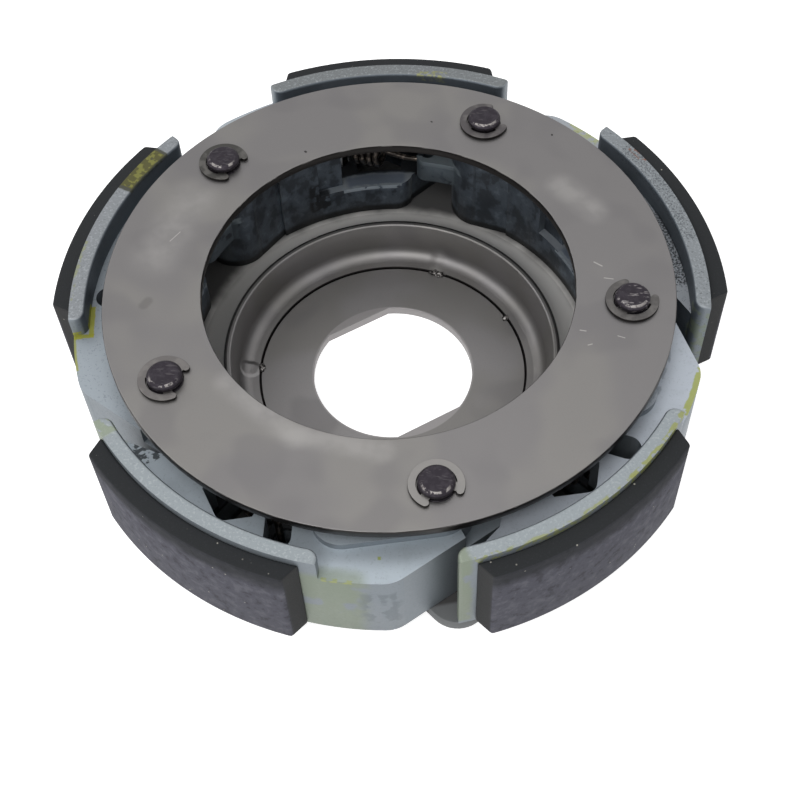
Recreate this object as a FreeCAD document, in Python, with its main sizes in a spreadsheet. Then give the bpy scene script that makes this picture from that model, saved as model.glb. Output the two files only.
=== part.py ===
import FreeCAD, Part
import math
import os
import re
import Sketcher

# Centrifugal clutch with five lined shoes: a dished drive plate, five shoulder pins, a ring plate on
# top, and one tension spring from each shoe's tail to the next shoe's tongue.
# Millimetres. The origin is the centre of the hub plate's underside, on the shaft axis, +Z up, and the
# first pivot pin lies on +X. Each shoe is drawn in its own frame, with X through its lining's centre.

SIZES = {
    # Whole clutch
    "shoe_count": 5,
    "pivot_radius": 52.5,
    "running_gap": 0.3,
    "fit_gap": 0.03,
    # Dished drive plate, whose radii step inwards from the shoes
    "dish_drop": 4.3,
    "flange_thickness": 3.0,
    "flange_margin": 11.0,
    "lip_margin": 8.8,
    "lip_width": 1.1,
    "lip_rise": 4.4,
    "lip_edge": 0.35,
    "lip_slope": 7.6,
    "lip_round": 11.0,
    "wall_thickness": 1.6,
    "wall_lean": 1.3,
    "floor_round": 3.0,
    "floor_width": 1.85,
    "ear_reach": 10.2,
    "ear_shift": 2.2,
    "ear_round": 6.5,
    "ear_root": 10.0,
    # Hub plate with two flats in its bore
    "hub_thickness": 2.3,
    "hub_recess": 0.3,
    "hub_step": 1.55,
    "hub_flange": 1.1,
    "hub_edge": 0.2,
    "hub_bore_radius": 18.7,
    "hub_flat_depth": 1.9,
    "hub_flat_angle": 127.0,
    # Pivot pins
    "pin_shank_radius": 4.75,
    "pin_shoulder": 1.0,
    "pin_rivet_lip": 1.3,
    "pin_rivet_height": 1.5,
    "pin_top": 2.4,
    "pin_chamfer": 0.7,
    "groove_depth": 1.0,
    "groove_height": 0.85,
    # Ring plate
    "ring_outer_margin": 9.5,
    "ring_inner_margin": 11.9,
    "ring_thickness": 2.0,
    "ring_edge": 0.15,
    "deck_height": 26.1,
    # Retaining clips
    "clip_play": 0.3,
    "clip_width": 1.65,
    "clip_thickness": 0.8,
    "clip_sweep": 262.0,
    "clip_prong_width": 2.0,
    "clip_prong_lead": 9.0,
    "clip_turn_1": 60.9,
    "clip_turn_2": 31.0,
    "clip_turn_3": -25.2,
    "clip_turn_4": -9.6,
    "clip_turn_5": -61.7,
    # Shoes: web and pivot boss
    "lead_angle": 46.6,
    "shoe_inner_margin": 6.3,
    "heel_step": 0.6,
    "heel_angle": 34.7,
    "boss_wall": 2.85,
    "collar_wall": 1.65,
    "collar_height": 4.8,
    "pad_height": 1.8,
    "pad_angle": 26.6,
    "pad_shift": 3.8,
    "pad_round": 6.1,
    "bevel_height": 3.0,
    "nose_angle": 71.3,
    "nose_wall": 2.0,
    "nose_round": 7.0,
    # Shoes: rim
    "rim_outer_margin": 16.9,
    "rim_thickness": 3.4,
    "rim_half_angle": 24.6,
    "rim_height": 26.5,
    "rim_round": 2.4,
    "rim_edge": 0.7,
    "rim_end_angle": 2.4,
    # Shoes: tail with its ledge, window and slot
    "tail_angle": -0.5,
    "tail_corner_angle": -5.9,
    "tail_corner_depth": 3.6,
    "tail_corner_round": 4.6,
    "tail_gap": 2.0,
    "tail_shift": 15.0,
    "stop_gap": 0.35,
    "ledge_height": 8.6,
    "ledge_angle": 14.4,
    "scallop_depth": 1.9,
    "scallop_angle": 22.2,
    "window_wall": 5.3,
    "window_rim_wall": 1.4,
    "window_start_angle": -2.7,
    "window_end_angle": 9.2,
    "window_peak_angle": 4.2,
    "window_slant": 4.2,
    "window_round": 2.4,
    "slot_angle": 15.4,
    "slot_tilt": 1.8,
    "slot_length": 5.6,
    "slot_rim_wall": 0.6,
    "slot_round": 2.8,
    # Shoes: tongue with its spring anchor
    "tongue_gap": 1.2,
    "tongue_setback": 0.9,
    "tongue_angle": 64.5,
    "tongue_root_angle": 50.0,
    "tongue_drop": 4.5,
    "tongue_round": 2.4,
    "anchor_angle": 61.6,
    "anchor_wall": 1.5,
    "anchor_round": 1.7,
    "anchor_slot_width": 2.4,
    "anchor_floor_gap": 0.3,
    # Friction linings
    "lining_thickness": 4.2,
    "lining_margin": 1.5,
    "lining_half_angle": 19.9,
    "lining_bevel_angle": 1.9,
    # Return springs
    "wire_radius": 0.8,
    "wire_sides": 6,
    "coil_radius": 3.25,
    "coil_turns": 4,
    "coil_pitch": 1.7,
    "spring_rise": 5.5,
    "hook_reach": 3.5,
    "hook_gap": 0.1,
    "hook_bend": 1.6,
    "tail_hook_drop": 9.0,
}

# Radii, heights and angles worked out from the sizes above, each of which several pieces may share
DERIVED = {
    "pitch": "360 / shoe_count",
    # Radii from the clutch axis
    "shoe_inner_radius": "pivot_radius - shoe_inner_margin",
    "rim_outer_radius": "pivot_radius + rim_outer_margin",
    "rim_inner_radius": "rim_outer_radius - rim_thickness",
    "lining_radius": "rim_outer_radius + lining_thickness",
    "flange_radius": "pivot_radius + flange_margin",
    "ring_outer_radius": "pivot_radius + ring_outer_margin",
    "ring_inner_radius": "pivot_radius - ring_inner_margin",
    "lip_radius": "shoe_inner_radius - lip_margin",
    "lip_foot_radius": "lip_radius + lip_slope",
    "dish_outer_radius": "lip_radius + wall_thickness",
    "wall_foot_radius": "lip_radius - wall_lean",
    "hub_rim_radius": "wall_foot_radius - floor_round - floor_width",
    "hub_step_radius": "hub_rim_radius - hub_step",
    "hub_flat_distance": "hub_bore_radius - hub_flat_depth",
    "scallop_radius": "shoe_inner_radius + scallop_depth",
    "tail_corner_radius": "shoe_inner_radius + tail_corner_depth",
    "window_inner_radius": "shoe_inner_radius + window_wall",
    "window_outer_radius": "rim_inner_radius - window_rim_wall",
    "window_shoulder_radius": "window_outer_radius - window_slant",
    "slot_outer_radius": "rim_inner_radius - slot_rim_wall - slot_round",
    "slot_inner_radius": "slot_outer_radius - slot_length",
    "tongue_inner_radius": "shoe_inner_radius + tongue_setback",
    "anchor_radius": "tongue_inner_radius + anchor_wall + anchor_round",
    # Radii from a pin's own axis
    "pin_end_radius": "pin_shank_radius - pin_shoulder",
    "pin_rivet_radius": "pin_end_radius + pin_rivet_lip",
    "groove_radius": "pin_end_radius - groove_depth",
    "clip_inner_radius": "pin_end_radius + clip_play",
    "clip_outer_radius": "clip_inner_radius + clip_width",
    "boss_radius": "pin_shank_radius + boss_wall",
    "collar_radius": "pin_shank_radius + collar_wall",
    # The line that a shoe's nose and its tongue lie on, and the same line of the shoe before it
    "nose_distance": "pivot_radius * cos(nose_angle - lead_angle) + boss_radius + nose_wall",
    "nose_start": "pivot_radius * sin(lead_angle - nose_angle)",
    "next_nose_angle": "nose_angle - pitch",
    "stop_distance": "nose_distance + stop_gap",
    # Heights
    "flange_top": "dish_drop + flange_thickness",
    "lip_height": "flange_top + lip_rise",
    "dish_floor": "hub_thickness + hub_recess",
    "hub_step_height": "hub_thickness - hub_flange",
    "ring_bottom": "flange_top + deck_height",
    "ring_top": "ring_bottom + ring_thickness",
    "shoe_bottom": "flange_top + running_gap",
    "collar_top": "ring_bottom - running_gap",
    "shoe_top": "collar_top - collar_height",
    "shoe_height": "shoe_top - shoe_bottom",
    "lining_height": "rim_height - lining_margin",
    "ledge_top": "shoe_bottom + ledge_height",
    "tongue_bottom": "ledge_top + tongue_gap",
    "tongue_top": "shoe_top - tongue_drop",
    "spring_height": "ledge_top + spring_rise",
    "anchor_floor": "spring_height - anchor_slot_width / 2 - anchor_floor_gap",
}

# How far a cutting sketch stands off the metal, and the most that two equal lengths may differ by
OVERCUT = 1
SAME = 0.01

ORIGIN = -1
Z_AXIS = FreeCAD.Vector(0, 0, 1)

doc = FreeCAD.newDocument("CentrifugalClutch")


def fill_sheet():
    """Write every driving size into the spreadsheet, one row each, and give its cell an alias."""
    sheet = doc.addObject("Spreadsheet::Sheet", "sizes")
    for row, (alias, number) in enumerate(SIZES.items(), start=1):
        sheet.set(f"A{row}", alias)
        sheet.set(f"B{row}", str(number))
        sheet.setAlias(f"B{row}", alias)
    doc.recompute()
    return sheet


def with_sheet(formula):
    """Point every size named in a formula, or in what it is worked out from, at its spreadsheet cell."""

    def cell(word):
        if word[0] in DERIVED:
            return f"({with_sheet(DERIVED[word[0]])})"
        return f"sizes.{word[0]}" if word[0] in SIZES else word[0]

    return re.sub(r"[a-z]\w*", cell, str(formula))


def number(formula):
    """Value of a formula of named sizes."""
    value = sheet.evalExpression(with_sheet(formula))
    return float(getattr(value, "Value", value))


def bind(item, name, formula):
    """Tie one property of an object to a formula of named sizes."""
    item.setExpression(name, with_sheet(formula))


def polar(radius, angle):
    """Sketch corner at a radius and an angle."""
    return f"({radius}) * cos({angle})", f"({radius}) * sin({angle})"


def beside(angle, distance, shift):
    """Sketch corner on the line whose normal has this angle and distance, shifted along the line."""
    along_x = f"({distance}) * cos({angle}) - ({shift}) * sin({angle})"
    along_y = f"({distance}) * sin({angle}) + ({shift}) * cos({angle})"
    return along_x, along_y


def add_body(name):
    """Empty body whose label is its node's name."""
    body = doc.addObject("PartDesign::Body", name)
    body.Label = name
    return body


def add_sketch(body, name, height="0", plane="XY_Plane"):
    """Sketch on one of the body's own origin planes, lifted to a height."""
    sketch = body.newObject("Sketcher::SketchObject", f"{body.Name}_{name}")
    support = next(item for item in body.Origin.OriginFeatures if item.Role == plane)
    sketch.AttachmentSupport = (support, [""])
    sketch.MapMode = "FlatFace"
    bind(sketch, "AttachmentOffset.Base.z", height)
    return sketch


def constrain(sketch, kind, formula, *where):
    """Add a dimension to a sketch and tie it to a formula."""
    index = sketch.addConstraint(Sketcher.Constraint(kind, *where, number(formula)))
    name = f"size_{index}"
    sketch.renameConstraint(index, name)
    bind(sketch, f"Constraints.{name}", formula)


def place_point(sketch, edge, end, corner):
    """Hold one end of an edge, or an arc's centre, at a corner given by two formulas."""
    constrain(sketch, "DistanceX", corner[0], ORIGIN, 1, edge, end)
    constrain(sketch, "DistanceY", corner[1], ORIGIN, 1, edge, end)


def arc_between(start, end, radius, turn):
    """Short arc from start to end, counterclockwise for a turn of 1 and clockwise for -1."""
    chord = end - start
    middle = (start + end) * 0.5
    left = FreeCAD.Vector(-chord.y, chord.x, 0) * (1 / chord.Length)
    rise = math.sqrt(max(radius**2 - (chord.Length / 2) ** 2, 0))
    centre = middle + left * (rise * turn)
    first, last = (start, end) if turn > 0 else (end, start)
    first_angle = math.atan2(first.y - centre.y, first.x - centre.x)
    last_angle = math.atan2(last.y - centre.y, last.x - centre.x)
    return Part.ArcOfCircle(Part.Circle(centre, Z_AXIS, radius), first_angle, last_angle)


def draw_outline(sketch, corners, arcs=None, closed=True):
    """Outline through the corners. arcs gives (radius, turn) for the edges that start at a corner."""
    arcs = arcs or {}
    spots = [FreeCAD.Vector(number(x), number(y), 0) for x, y in corners]
    ends = []
    edge_count = len(spots) if closed else len(spots) - 1
    for index in range(edge_count):
        spot = spots[index]
        following = spots[(index + 1) % len(spots)]
        if index in arcs:
            radius, turn = arcs[index]
            edge = sketch.addGeometry(arc_between(spot, following, number(radius), turn), False)
            ends.append((edge, 1, 2) if turn > 0 else (edge, 2, 1))
        else:
            edge = sketch.addGeometry(Part.LineSegment(spot, following), False)
            ends.append((edge, 1, 2))
    joints = zip(ends, ends[1:] + ends[:1] if closed else ends[1:])
    for (edge, _, end), (next_edge, next_start, _) in joints:
        sketch.addConstraint(Sketcher.Constraint("Coincident", edge, end, next_edge, next_start))
    for index, (edge, start, _) in enumerate(ends):
        place_point(sketch, edge, start, corners[index])
        if index in arcs:
            constrain(sketch, "Radius", arcs[index][0], edge)
    if not closed:
        last_edge, _, last_end = ends[-1]
        place_point(sketch, last_edge, last_end, corners[-1])


def draw_circle(sketch, centre, radius):
    """Circle with its centre at a corner."""
    spot = FreeCAD.Vector(number(centre[0]), number(centre[1]), 0)
    edge = sketch.addGeometry(Part.Circle(spot, Z_AXIS, number(radius)), False)
    place_point(sketch, edge, 3, centre)
    constrain(sketch, "Radius", radius, edge)


def draw_link(sketch, centre_a, radius_a, centre_b, radius_b):
    """Outline of two circles joined by their outer tangents."""
    spot_a = FreeCAD.Vector(number(centre_a[0]), number(centre_a[1]), 0)
    spot_b = FreeCAD.Vector(number(centre_b[0]), number(centre_b[1]), 0)
    size_a = number(radius_a)
    size_b = number(radius_b)
    reach = spot_b - spot_a
    heading = math.atan2(reach.y, reach.x)
    opening = math.acos((size_a - size_b) / reach.Length)

    def touch(spot, size, angle):
        return spot + FreeCAD.Vector(math.cos(angle), math.sin(angle), 0) * size

    low = heading - opening
    high = heading + opening
    round_a = Part.ArcOfCircle(Part.Circle(spot_a, Z_AXIS, size_a), high, low + math.tau)
    round_b = Part.ArcOfCircle(Part.Circle(spot_b, Z_AXIS, size_b), low, high)
    line_right = Part.LineSegment(touch(spot_a, size_a, low), touch(spot_b, size_b, low))
    line_left = Part.LineSegment(touch(spot_b, size_b, high), touch(spot_a, size_a, high))
    arc_a = sketch.addGeometry(round_a, False)
    arc_b = sketch.addGeometry(round_b, False)
    right = sketch.addGeometry(line_right, False)
    left = sketch.addGeometry(line_left, False)
    for first, first_end, second, second_end in (
        (arc_a, 2, right, 1),
        (right, 2, arc_b, 1),
        (arc_b, 2, left, 1),
        (left, 2, arc_a, 1),
    ):
        sketch.addConstraint(Sketcher.Constraint("Tangent", first, first_end, second, second_end))
    place_point(sketch, arc_a, 3, centre_a)
    place_point(sketch, arc_b, 3, centre_b)
    constrain(sketch, "Radius", radius_a, arc_a)
    constrain(sketch, "Radius", radius_b, arc_b)


def add_pad(body, sketch, name, length):
    """Pad a sketch upwards."""
    pad = body.newObject("PartDesign::Pad", f"{body.Name}_{name}")
    pad.Profile = sketch
    bind(pad, "Length", length)
    sketch.Visibility = False
    return pad


def add_pocket(body, sketch, name, depth):
    """Cut a sketch downwards into the body."""
    pocket = body.newObject("PartDesign::Pocket", f"{body.Name}_{name}")
    pocket.Profile = sketch
    bind(pocket, "Length", depth)
    sketch.Visibility = False
    return pocket


def repeat_around(body, feature, name):
    """Repeat a feature at every pin, around the body's Z axis."""
    pattern = body.newObject("PartDesign::PolarPattern", f"{body.Name}_{name}")
    z_line = next(item for item in body.Origin.OriginFeatures if item.Role == "Z_Axis")
    pattern.Originals = [feature]
    pattern.Axis = (z_line, [""])
    pattern.Angle = 360
    bind(pattern, "Occurrences", "shoe_count")
    body.Tip = pattern
    return pattern


def revolve(body, sketch, name):
    """Turn a sketch on the XZ plane around the Z axis."""
    turned = body.newObject("PartDesign::Revolution", f"{body.Name}_{name}")
    turned.Profile = sketch
    turned.ReferenceAxis = (sketch, ["V_Axis"])
    turned.Angle = 360
    sketch.Visibility = False
    return turned


def edges_where(feature, test):
    """Names of a feature's edges whose middle point passes a test."""
    names = []
    for index, edge in enumerate(feature.Shape.Edges, start=1):
        middle = edge.valueAt((edge.FirstParameter + edge.LastParameter) / 2)
        if test(edge, middle):
            names.append(f"Edge{index}")
    return names


def add_fillet(body, feature, name, edges, radius):
    """Round the named edges of the last feature."""
    fillet = body.newObject("PartDesign::Fillet", f"{body.Name}_{name}")
    fillet.Base = (feature, edges)
    bind(fillet, "Radius", radius)
    return fillet


def turn_piece(item, formula):
    """Turn a whole piece about Z by a formula's angle."""
    item.Placement = FreeCAD.Placement(item.Placement.Base, FreeCAD.Rotation(Z_AXIS, number(formula)))
    bind(item, "Placement.Rotation.Angle", formula)


def make_hub_plate():
    """Stepped disc, pressed into the drive plate, with two flats in its bore."""
    body = add_body("hub_plate")
    profile = add_sketch(body, "profile", plane="XZ_Plane")
    top_edge = "hub_thickness - hub_edge"
    draw_outline(
        profile,
        [
            ("0", "0"),
            ("hub_step_radius", "0"),
            ("hub_step_radius", "hub_step_height"),
            ("hub_rim_radius", "hub_step_height"),
            ("hub_rim_radius", top_edge),
            ("hub_rim_radius - hub_edge", "hub_thickness"),
            ("0", "hub_thickness"),
        ],
    )
    revolve(body, profile, "disc")
    bore = add_sketch(body, "bore", f"hub_thickness + {OVERCUT}")
    half_flat = "sqrt(hub_bore_radius ^ 2 - hub_flat_distance ^ 2)"
    draw_outline(
        bore,
        [
            beside("hub_flat_angle", "hub_flat_distance", f"-{half_flat}"),
            beside("hub_flat_angle", "hub_flat_distance", half_flat),
            beside("hub_flat_angle + 180", "hub_flat_distance", f"-{half_flat}"),
            beside("hub_flat_angle + 180", "hub_flat_distance", half_flat),
        ],
        {1: ("hub_bore_radius", 1), 3: ("hub_bore_radius", 1)},
    )
    add_pocket(body, bore, "bore_cut", f"hub_thickness + 2 * {OVERCUT}")
    return body


def make_drive_plate():
    """Dished plate with a raised lip round the dish, and an ear behind each pin."""
    body = add_body("drive_plate")
    profile = add_sketch(body, "profile", plane="XZ_Plane")
    seat = "hub_rim_radius + fit_gap"
    bore = "hub_step_radius + fit_gap"
    draw_outline(
        profile,
        [
            (bore, "0"),
            ("dish_outer_radius", "0"),
            ("dish_outer_radius", "dish_drop"),
            ("flange_radius", "dish_drop"),
            ("flange_radius", "flange_top"),
            ("lip_foot_radius", "flange_top"),
            ("lip_radius + lip_width", "lip_height"),
            ("lip_radius", "lip_height"),
            ("lip_radius - lip_edge", "lip_height - lip_edge"),
            ("wall_foot_radius", "dish_floor + floor_round"),
            ("wall_foot_radius - floor_round", "dish_floor"),
            (seat, "dish_floor"),
            (seat, "hub_step_height"),
            (bore, "hub_step_height"),
        ],
        {5: ("lip_round", -1), 9: ("floor_round", -1)},
    )
    revolve(body, profile, "dish")
    ear = add_sketch(body, "ear", "dish_drop")
    draw_link(ear, ("pivot_radius", "0"), "ear_root", ("pivot_radius + ear_reach", "ear_shift"), "ear_round")
    ear_pad = add_pad(body, ear, "ear_pad", "flange_thickness")
    repeat_around(body, ear_pad, "ears")
    hole = add_sketch(body, "pin_hole", f"flange_top + {OVERCUT}")
    draw_circle(hole, ("pivot_radius", "0"), "pin_end_radius + fit_gap")
    hole_cut = add_pocket(body, hole, "pin_hole_cut", f"flange_thickness + 2 * {OVERCUT}")
    repeat_around(body, hole_cut, "pin_holes")
    return body


def make_ring_plate():
    """Flat ring that holds the pins' upper ends."""
    body = add_body("side_plate")
    profile = add_sketch(body, "profile", plane="XZ_Plane")
    draw_outline(
        profile,
        [
            ("ring_inner_radius", "ring_bottom"),
            ("ring_outer_radius", "ring_bottom"),
            ("ring_outer_radius", "ring_top - ring_edge"),
            ("ring_outer_radius - ring_edge", "ring_top"),
            ("ring_inner_radius + ring_edge", "ring_top"),
            ("ring_inner_radius", "ring_top - ring_edge"),
        ],
    )
    revolve(body, profile, "ring")
    hole = add_sketch(body, "pin_hole", f"ring_top + {OVERCUT}")
    draw_circle(hole, ("pivot_radius", "0"), "pin_end_radius + fit_gap")
    hole_cut = add_pocket(body, hole, "pin_hole_cut", f"ring_thickness + 2 * {OVERCUT}")
    repeat_around(body, hole_cut, "pin_holes")
    return body


def make_pin(order):
    """Shoulder pin: riveted end below the flange, shank in the shoe, grooved end through the ring."""
    body = add_body(f"pivot_pin_{order}")
    profile = add_sketch(body, "profile", plane="XZ_Plane")
    pin_head = "ring_top + pin_top"
    rivet_bottom = "dish_drop - pin_rivet_height"
    draw_outline(
        profile,
        [
            ("0", rivet_bottom),
            ("pin_rivet_radius - pin_chamfer", rivet_bottom),
            ("pin_rivet_radius", f"{rivet_bottom} + pin_chamfer"),
            ("pin_rivet_radius", "dish_drop"),
            ("pin_end_radius", "dish_drop"),
            ("pin_end_radius", "flange_top"),
            ("pin_shank_radius", "flange_top"),
            ("pin_shank_radius", "ring_bottom"),
            ("pin_end_radius", "ring_bottom"),
            ("pin_end_radius", "ring_top"),
            ("groove_radius", "ring_top"),
            ("groove_radius", "ring_top + groove_height"),
            ("pin_end_radius", "ring_top + groove_height"),
            ("pin_end_radius", f"{pin_head} - pin_chamfer"),
            ("pin_end_radius - pin_chamfer", pin_head),
            ("0", pin_head),
        ],
    )
    revolve(body, profile, "turned")
    angle = f"pitch * {order - 1}"
    spot = polar("pivot_radius", angle)
    bind(body, "Placement.Base.x", spot[0])
    bind(body, "Placement.Base.y", spot[1])
    return body


def add_primitive(kind, name, formulas, spin=None):
    """Part primitive with its sizes tied to formulas, turned about Z if a spin is given."""
    item = doc.addObject(f"Part::{kind}", name)
    if spin is not None:
        item.Placement = FreeCAD.Placement(FreeCAD.Vector(), FreeCAD.Rotation(Z_AXIS, number(spin)))
        bind(item, "Placement.Rotation.Angle", spin)
    for name_of_size, formula in formulas.items():
        bind(item, name_of_size, formula)
    item.Visibility = False
    return item


def make_clip(order):
    """Open retaining ring: a band with rounded ends and three prongs that reach into the pin's groove."""
    name = f"e_clip_{order}"
    band_radius = "(clip_outer_radius + clip_inner_radius) / 2"
    start = f"(clip_turn_{order} + (360 - clip_sweep) / 2)"
    whole = {"Radius": "clip_outer_radius", "Height": "clip_thickness", "Angle": "clip_sweep"}
    inner = {"Radius": "clip_inner_radius", "Height": "clip_thickness"}
    disc = add_primitive("Cylinder", f"{name}_disc", whole, start)
    core = add_primitive("Cylinder", f"{name}_core", inner)
    band = doc.addObject("Part::Cut", f"{name}_band")
    band.Base = disc
    band.Tool = core
    solids = [band]
    for end, angle in enumerate((start, f"({start} + clip_sweep)")):
        spot = polar(band_radius, angle)
        formulas = {
            "Radius": "(clip_outer_radius - clip_inner_radius) / 2",
            "Height": "clip_thickness",
            "Placement.Base.x": spot[0],
            "Placement.Base.y": spot[1],
        }
        solids.append(add_primitive("Cylinder", f"{name}_end_{end}", formulas))
    prong_angles = (
        f"({start} + clip_prong_lead)",
        f"({start} + clip_sweep / 2)",
        f"({start} + clip_sweep - clip_prong_lead)",
    )
    for prong, angle in enumerate(prong_angles):
        corner = beside(angle, "groove_radius", "-clip_prong_width / 2")
        formulas = {
            "Length": f"{band_radius} - groove_radius",
            "Width": "clip_prong_width",
            "Height": "clip_thickness",
            "Placement.Base.x": corner[0],
            "Placement.Base.y": corner[1],
        }
        solids.append(add_primitive("Box", f"{name}_prong_{prong}", formulas, angle))
    joined = doc.addObject("Part::MultiFuse", f"{name}_joined")
    joined.Shapes = solids
    joined.Refine = True
    grip = add_primitive(
        "Cylinder", f"{name}_grip", {"Radius": "groove_radius + fit_gap", "Height": "clip_thickness"}
    )
    clip = doc.addObject("Part::Cut", name)
    clip.Base = joined
    clip.Tool = grip
    clip.Label = name
    spot = polar("pivot_radius", f"pitch * {order - 1}")
    bind(clip, "Placement.Base.x", spot[0])
    bind(clip, "Placement.Base.y", spot[1])
    bind(clip, "Placement.Base.z", "ring_top")
    return clip


def shoe_angle(order):
    """Direction of a shoe's lining centre, behind its own pin by the lead angle."""
    return f"pitch * {order - 1} - lead_angle"


def draw_shoe_outline(sketch):
    """Plan of the shoe's body, from the tail's inner corner round the boss and the rim."""
    nose_shift = "-sqrt(rim_outer_radius ^ 2 - nose_distance ^ 2)"
    boss_shift = "pivot_radius * sin(lead_angle - nose_angle)"
    draw_outline(
        sketch,
        [
            polar("shoe_inner_radius", "tail_angle"),
            polar("shoe_inner_radius", "heel_angle"),
            polar("shoe_inner_radius + heel_step", "heel_angle"),
            polar("pivot_radius - boss_radius", "lead_angle"),
            beside("nose_angle", "nose_distance", boss_shift),
            beside("nose_angle", "nose_distance", nose_shift),
            polar("rim_outer_radius", "rim_end_angle - rim_half_angle"),
            polar("rim_inner_radius", "rim_end_angle - rim_half_angle"),
            beside("next_nose_angle", "nose_distance + tail_gap", "-tail_shift"),
            polar("tail_corner_radius", "tail_corner_angle"),
        ],
        {
            0: ("shoe_inner_radius", 1),
            5: ("rim_outer_radius", -1),
            9: ("tail_corner_round", -1),
        },
    )


def make_shoe(order):
    """Cast shoe: lined rim, web, pivot boss, tail with its spring window, and tongue over the next tail."""
    body = add_body(f"shoe_{order}")
    pivot = polar("pivot_radius", "lead_angle")
    outline = add_sketch(body, "outline", "shoe_bottom")
    draw_shoe_outline(outline)
    web = add_pad(body, outline, "web", "shoe_height")
    doc.recompute()

    def at_nose(edge, middle):
        upright = abs(edge.tangentAt(edge.FirstParameter).z) > 1 - SAME
        return upright and middle.y > 0 and abs(math.hypot(middle.x, middle.y) - number("rim_outer_radius")) < SAME

    add_fillet(body, web, "nose_rounds", edges_where(web, at_nose), "nose_round")

    boss = add_sketch(body, "boss", "shoe_bottom")
    draw_circle(boss, pivot, "boss_radius")
    add_pad(body, boss, "boss_pad", "shoe_height")

    tongue = add_sketch(body, "tongue", "tongue_bottom")
    tip_shift = "(nose_distance) * tan(tongue_angle - nose_angle)"
    root_shift = "pivot_radius * sin(lead_angle - nose_angle) - boss_radius"
    round_angle = "tongue_round / tongue_inner_radius * 180 / pi"
    draw_outline(
        tongue,
        [
            polar("tongue_inner_radius", "tongue_root_angle"),
            polar("tongue_inner_radius", f"tongue_angle - {round_angle}"),
            polar("tongue_inner_radius + tongue_round", "tongue_angle"),
            beside("nose_angle", "nose_distance", tip_shift),
            beside("nose_angle", "nose_distance", root_shift),
        ],
        {0: ("tongue_inner_radius", 1), 1: ("tongue_round", -1)},
    )
    add_pad(body, tongue, "tongue_pad", "tongue_top - tongue_bottom")

    pad = add_sketch(body, "pad", "shoe_top")
    draw_link(pad, pivot, "boss_radius", polar("pivot_radius + pad_shift", "pad_angle"), "pad_round")
    add_pad(body, pad, "pad_pad", "pad_height")

    collar = add_sketch(body, "collar", "shoe_top")
    draw_circle(collar, pivot, "collar_radius")
    add_pad(body, collar, "collar_pad", "ring_bottom - running_gap - shoe_top")

    rim = add_sketch(body, "rim", "shoe_bottom")
    draw_outline(
        rim,
        [
            polar("rim_inner_radius", "-rim_half_angle"),
            polar("rim_inner_radius", "rim_half_angle"),
            polar("rim_outer_radius", "rim_half_angle"),
            polar("rim_outer_radius", "-rim_half_angle"),
        ],
        {0: ("rim_inner_radius", 1), 2: ("rim_outer_radius", -1)},
    )
    rim_pad = add_pad(body, rim, "rim_pad", "rim_height")
    doc.recompute()
    rim_top = number("shoe_bottom + rim_height")

    def at_rim_corner(edge, middle):
        top = max(vertex.Z for vertex in edge.Vertexes)
        inner = abs(math.hypot(middle.x, middle.y) - number("rim_inner_radius")) < SAME
        return isinstance(edge.Curve, Part.Line) and inner and abs(top - rim_top) < SAME < abs(middle.z - rim_top)

    def at_rim_end(edge, middle):
        return isinstance(edge.Curve, Part.Line) and abs(middle.z - rim_top) < SAME

    rounded = add_fillet(body, rim_pad, "rim_rounds", edges_where(rim_pad, at_rim_corner), "rim_round")
    doc.recompute()
    add_fillet(body, rounded, "rim_edges", edges_where(rounded, at_rim_end), "rim_edge")

    cut_shoe(body, pivot)
    turn_piece(body, shoe_angle(order))
    return body


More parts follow.
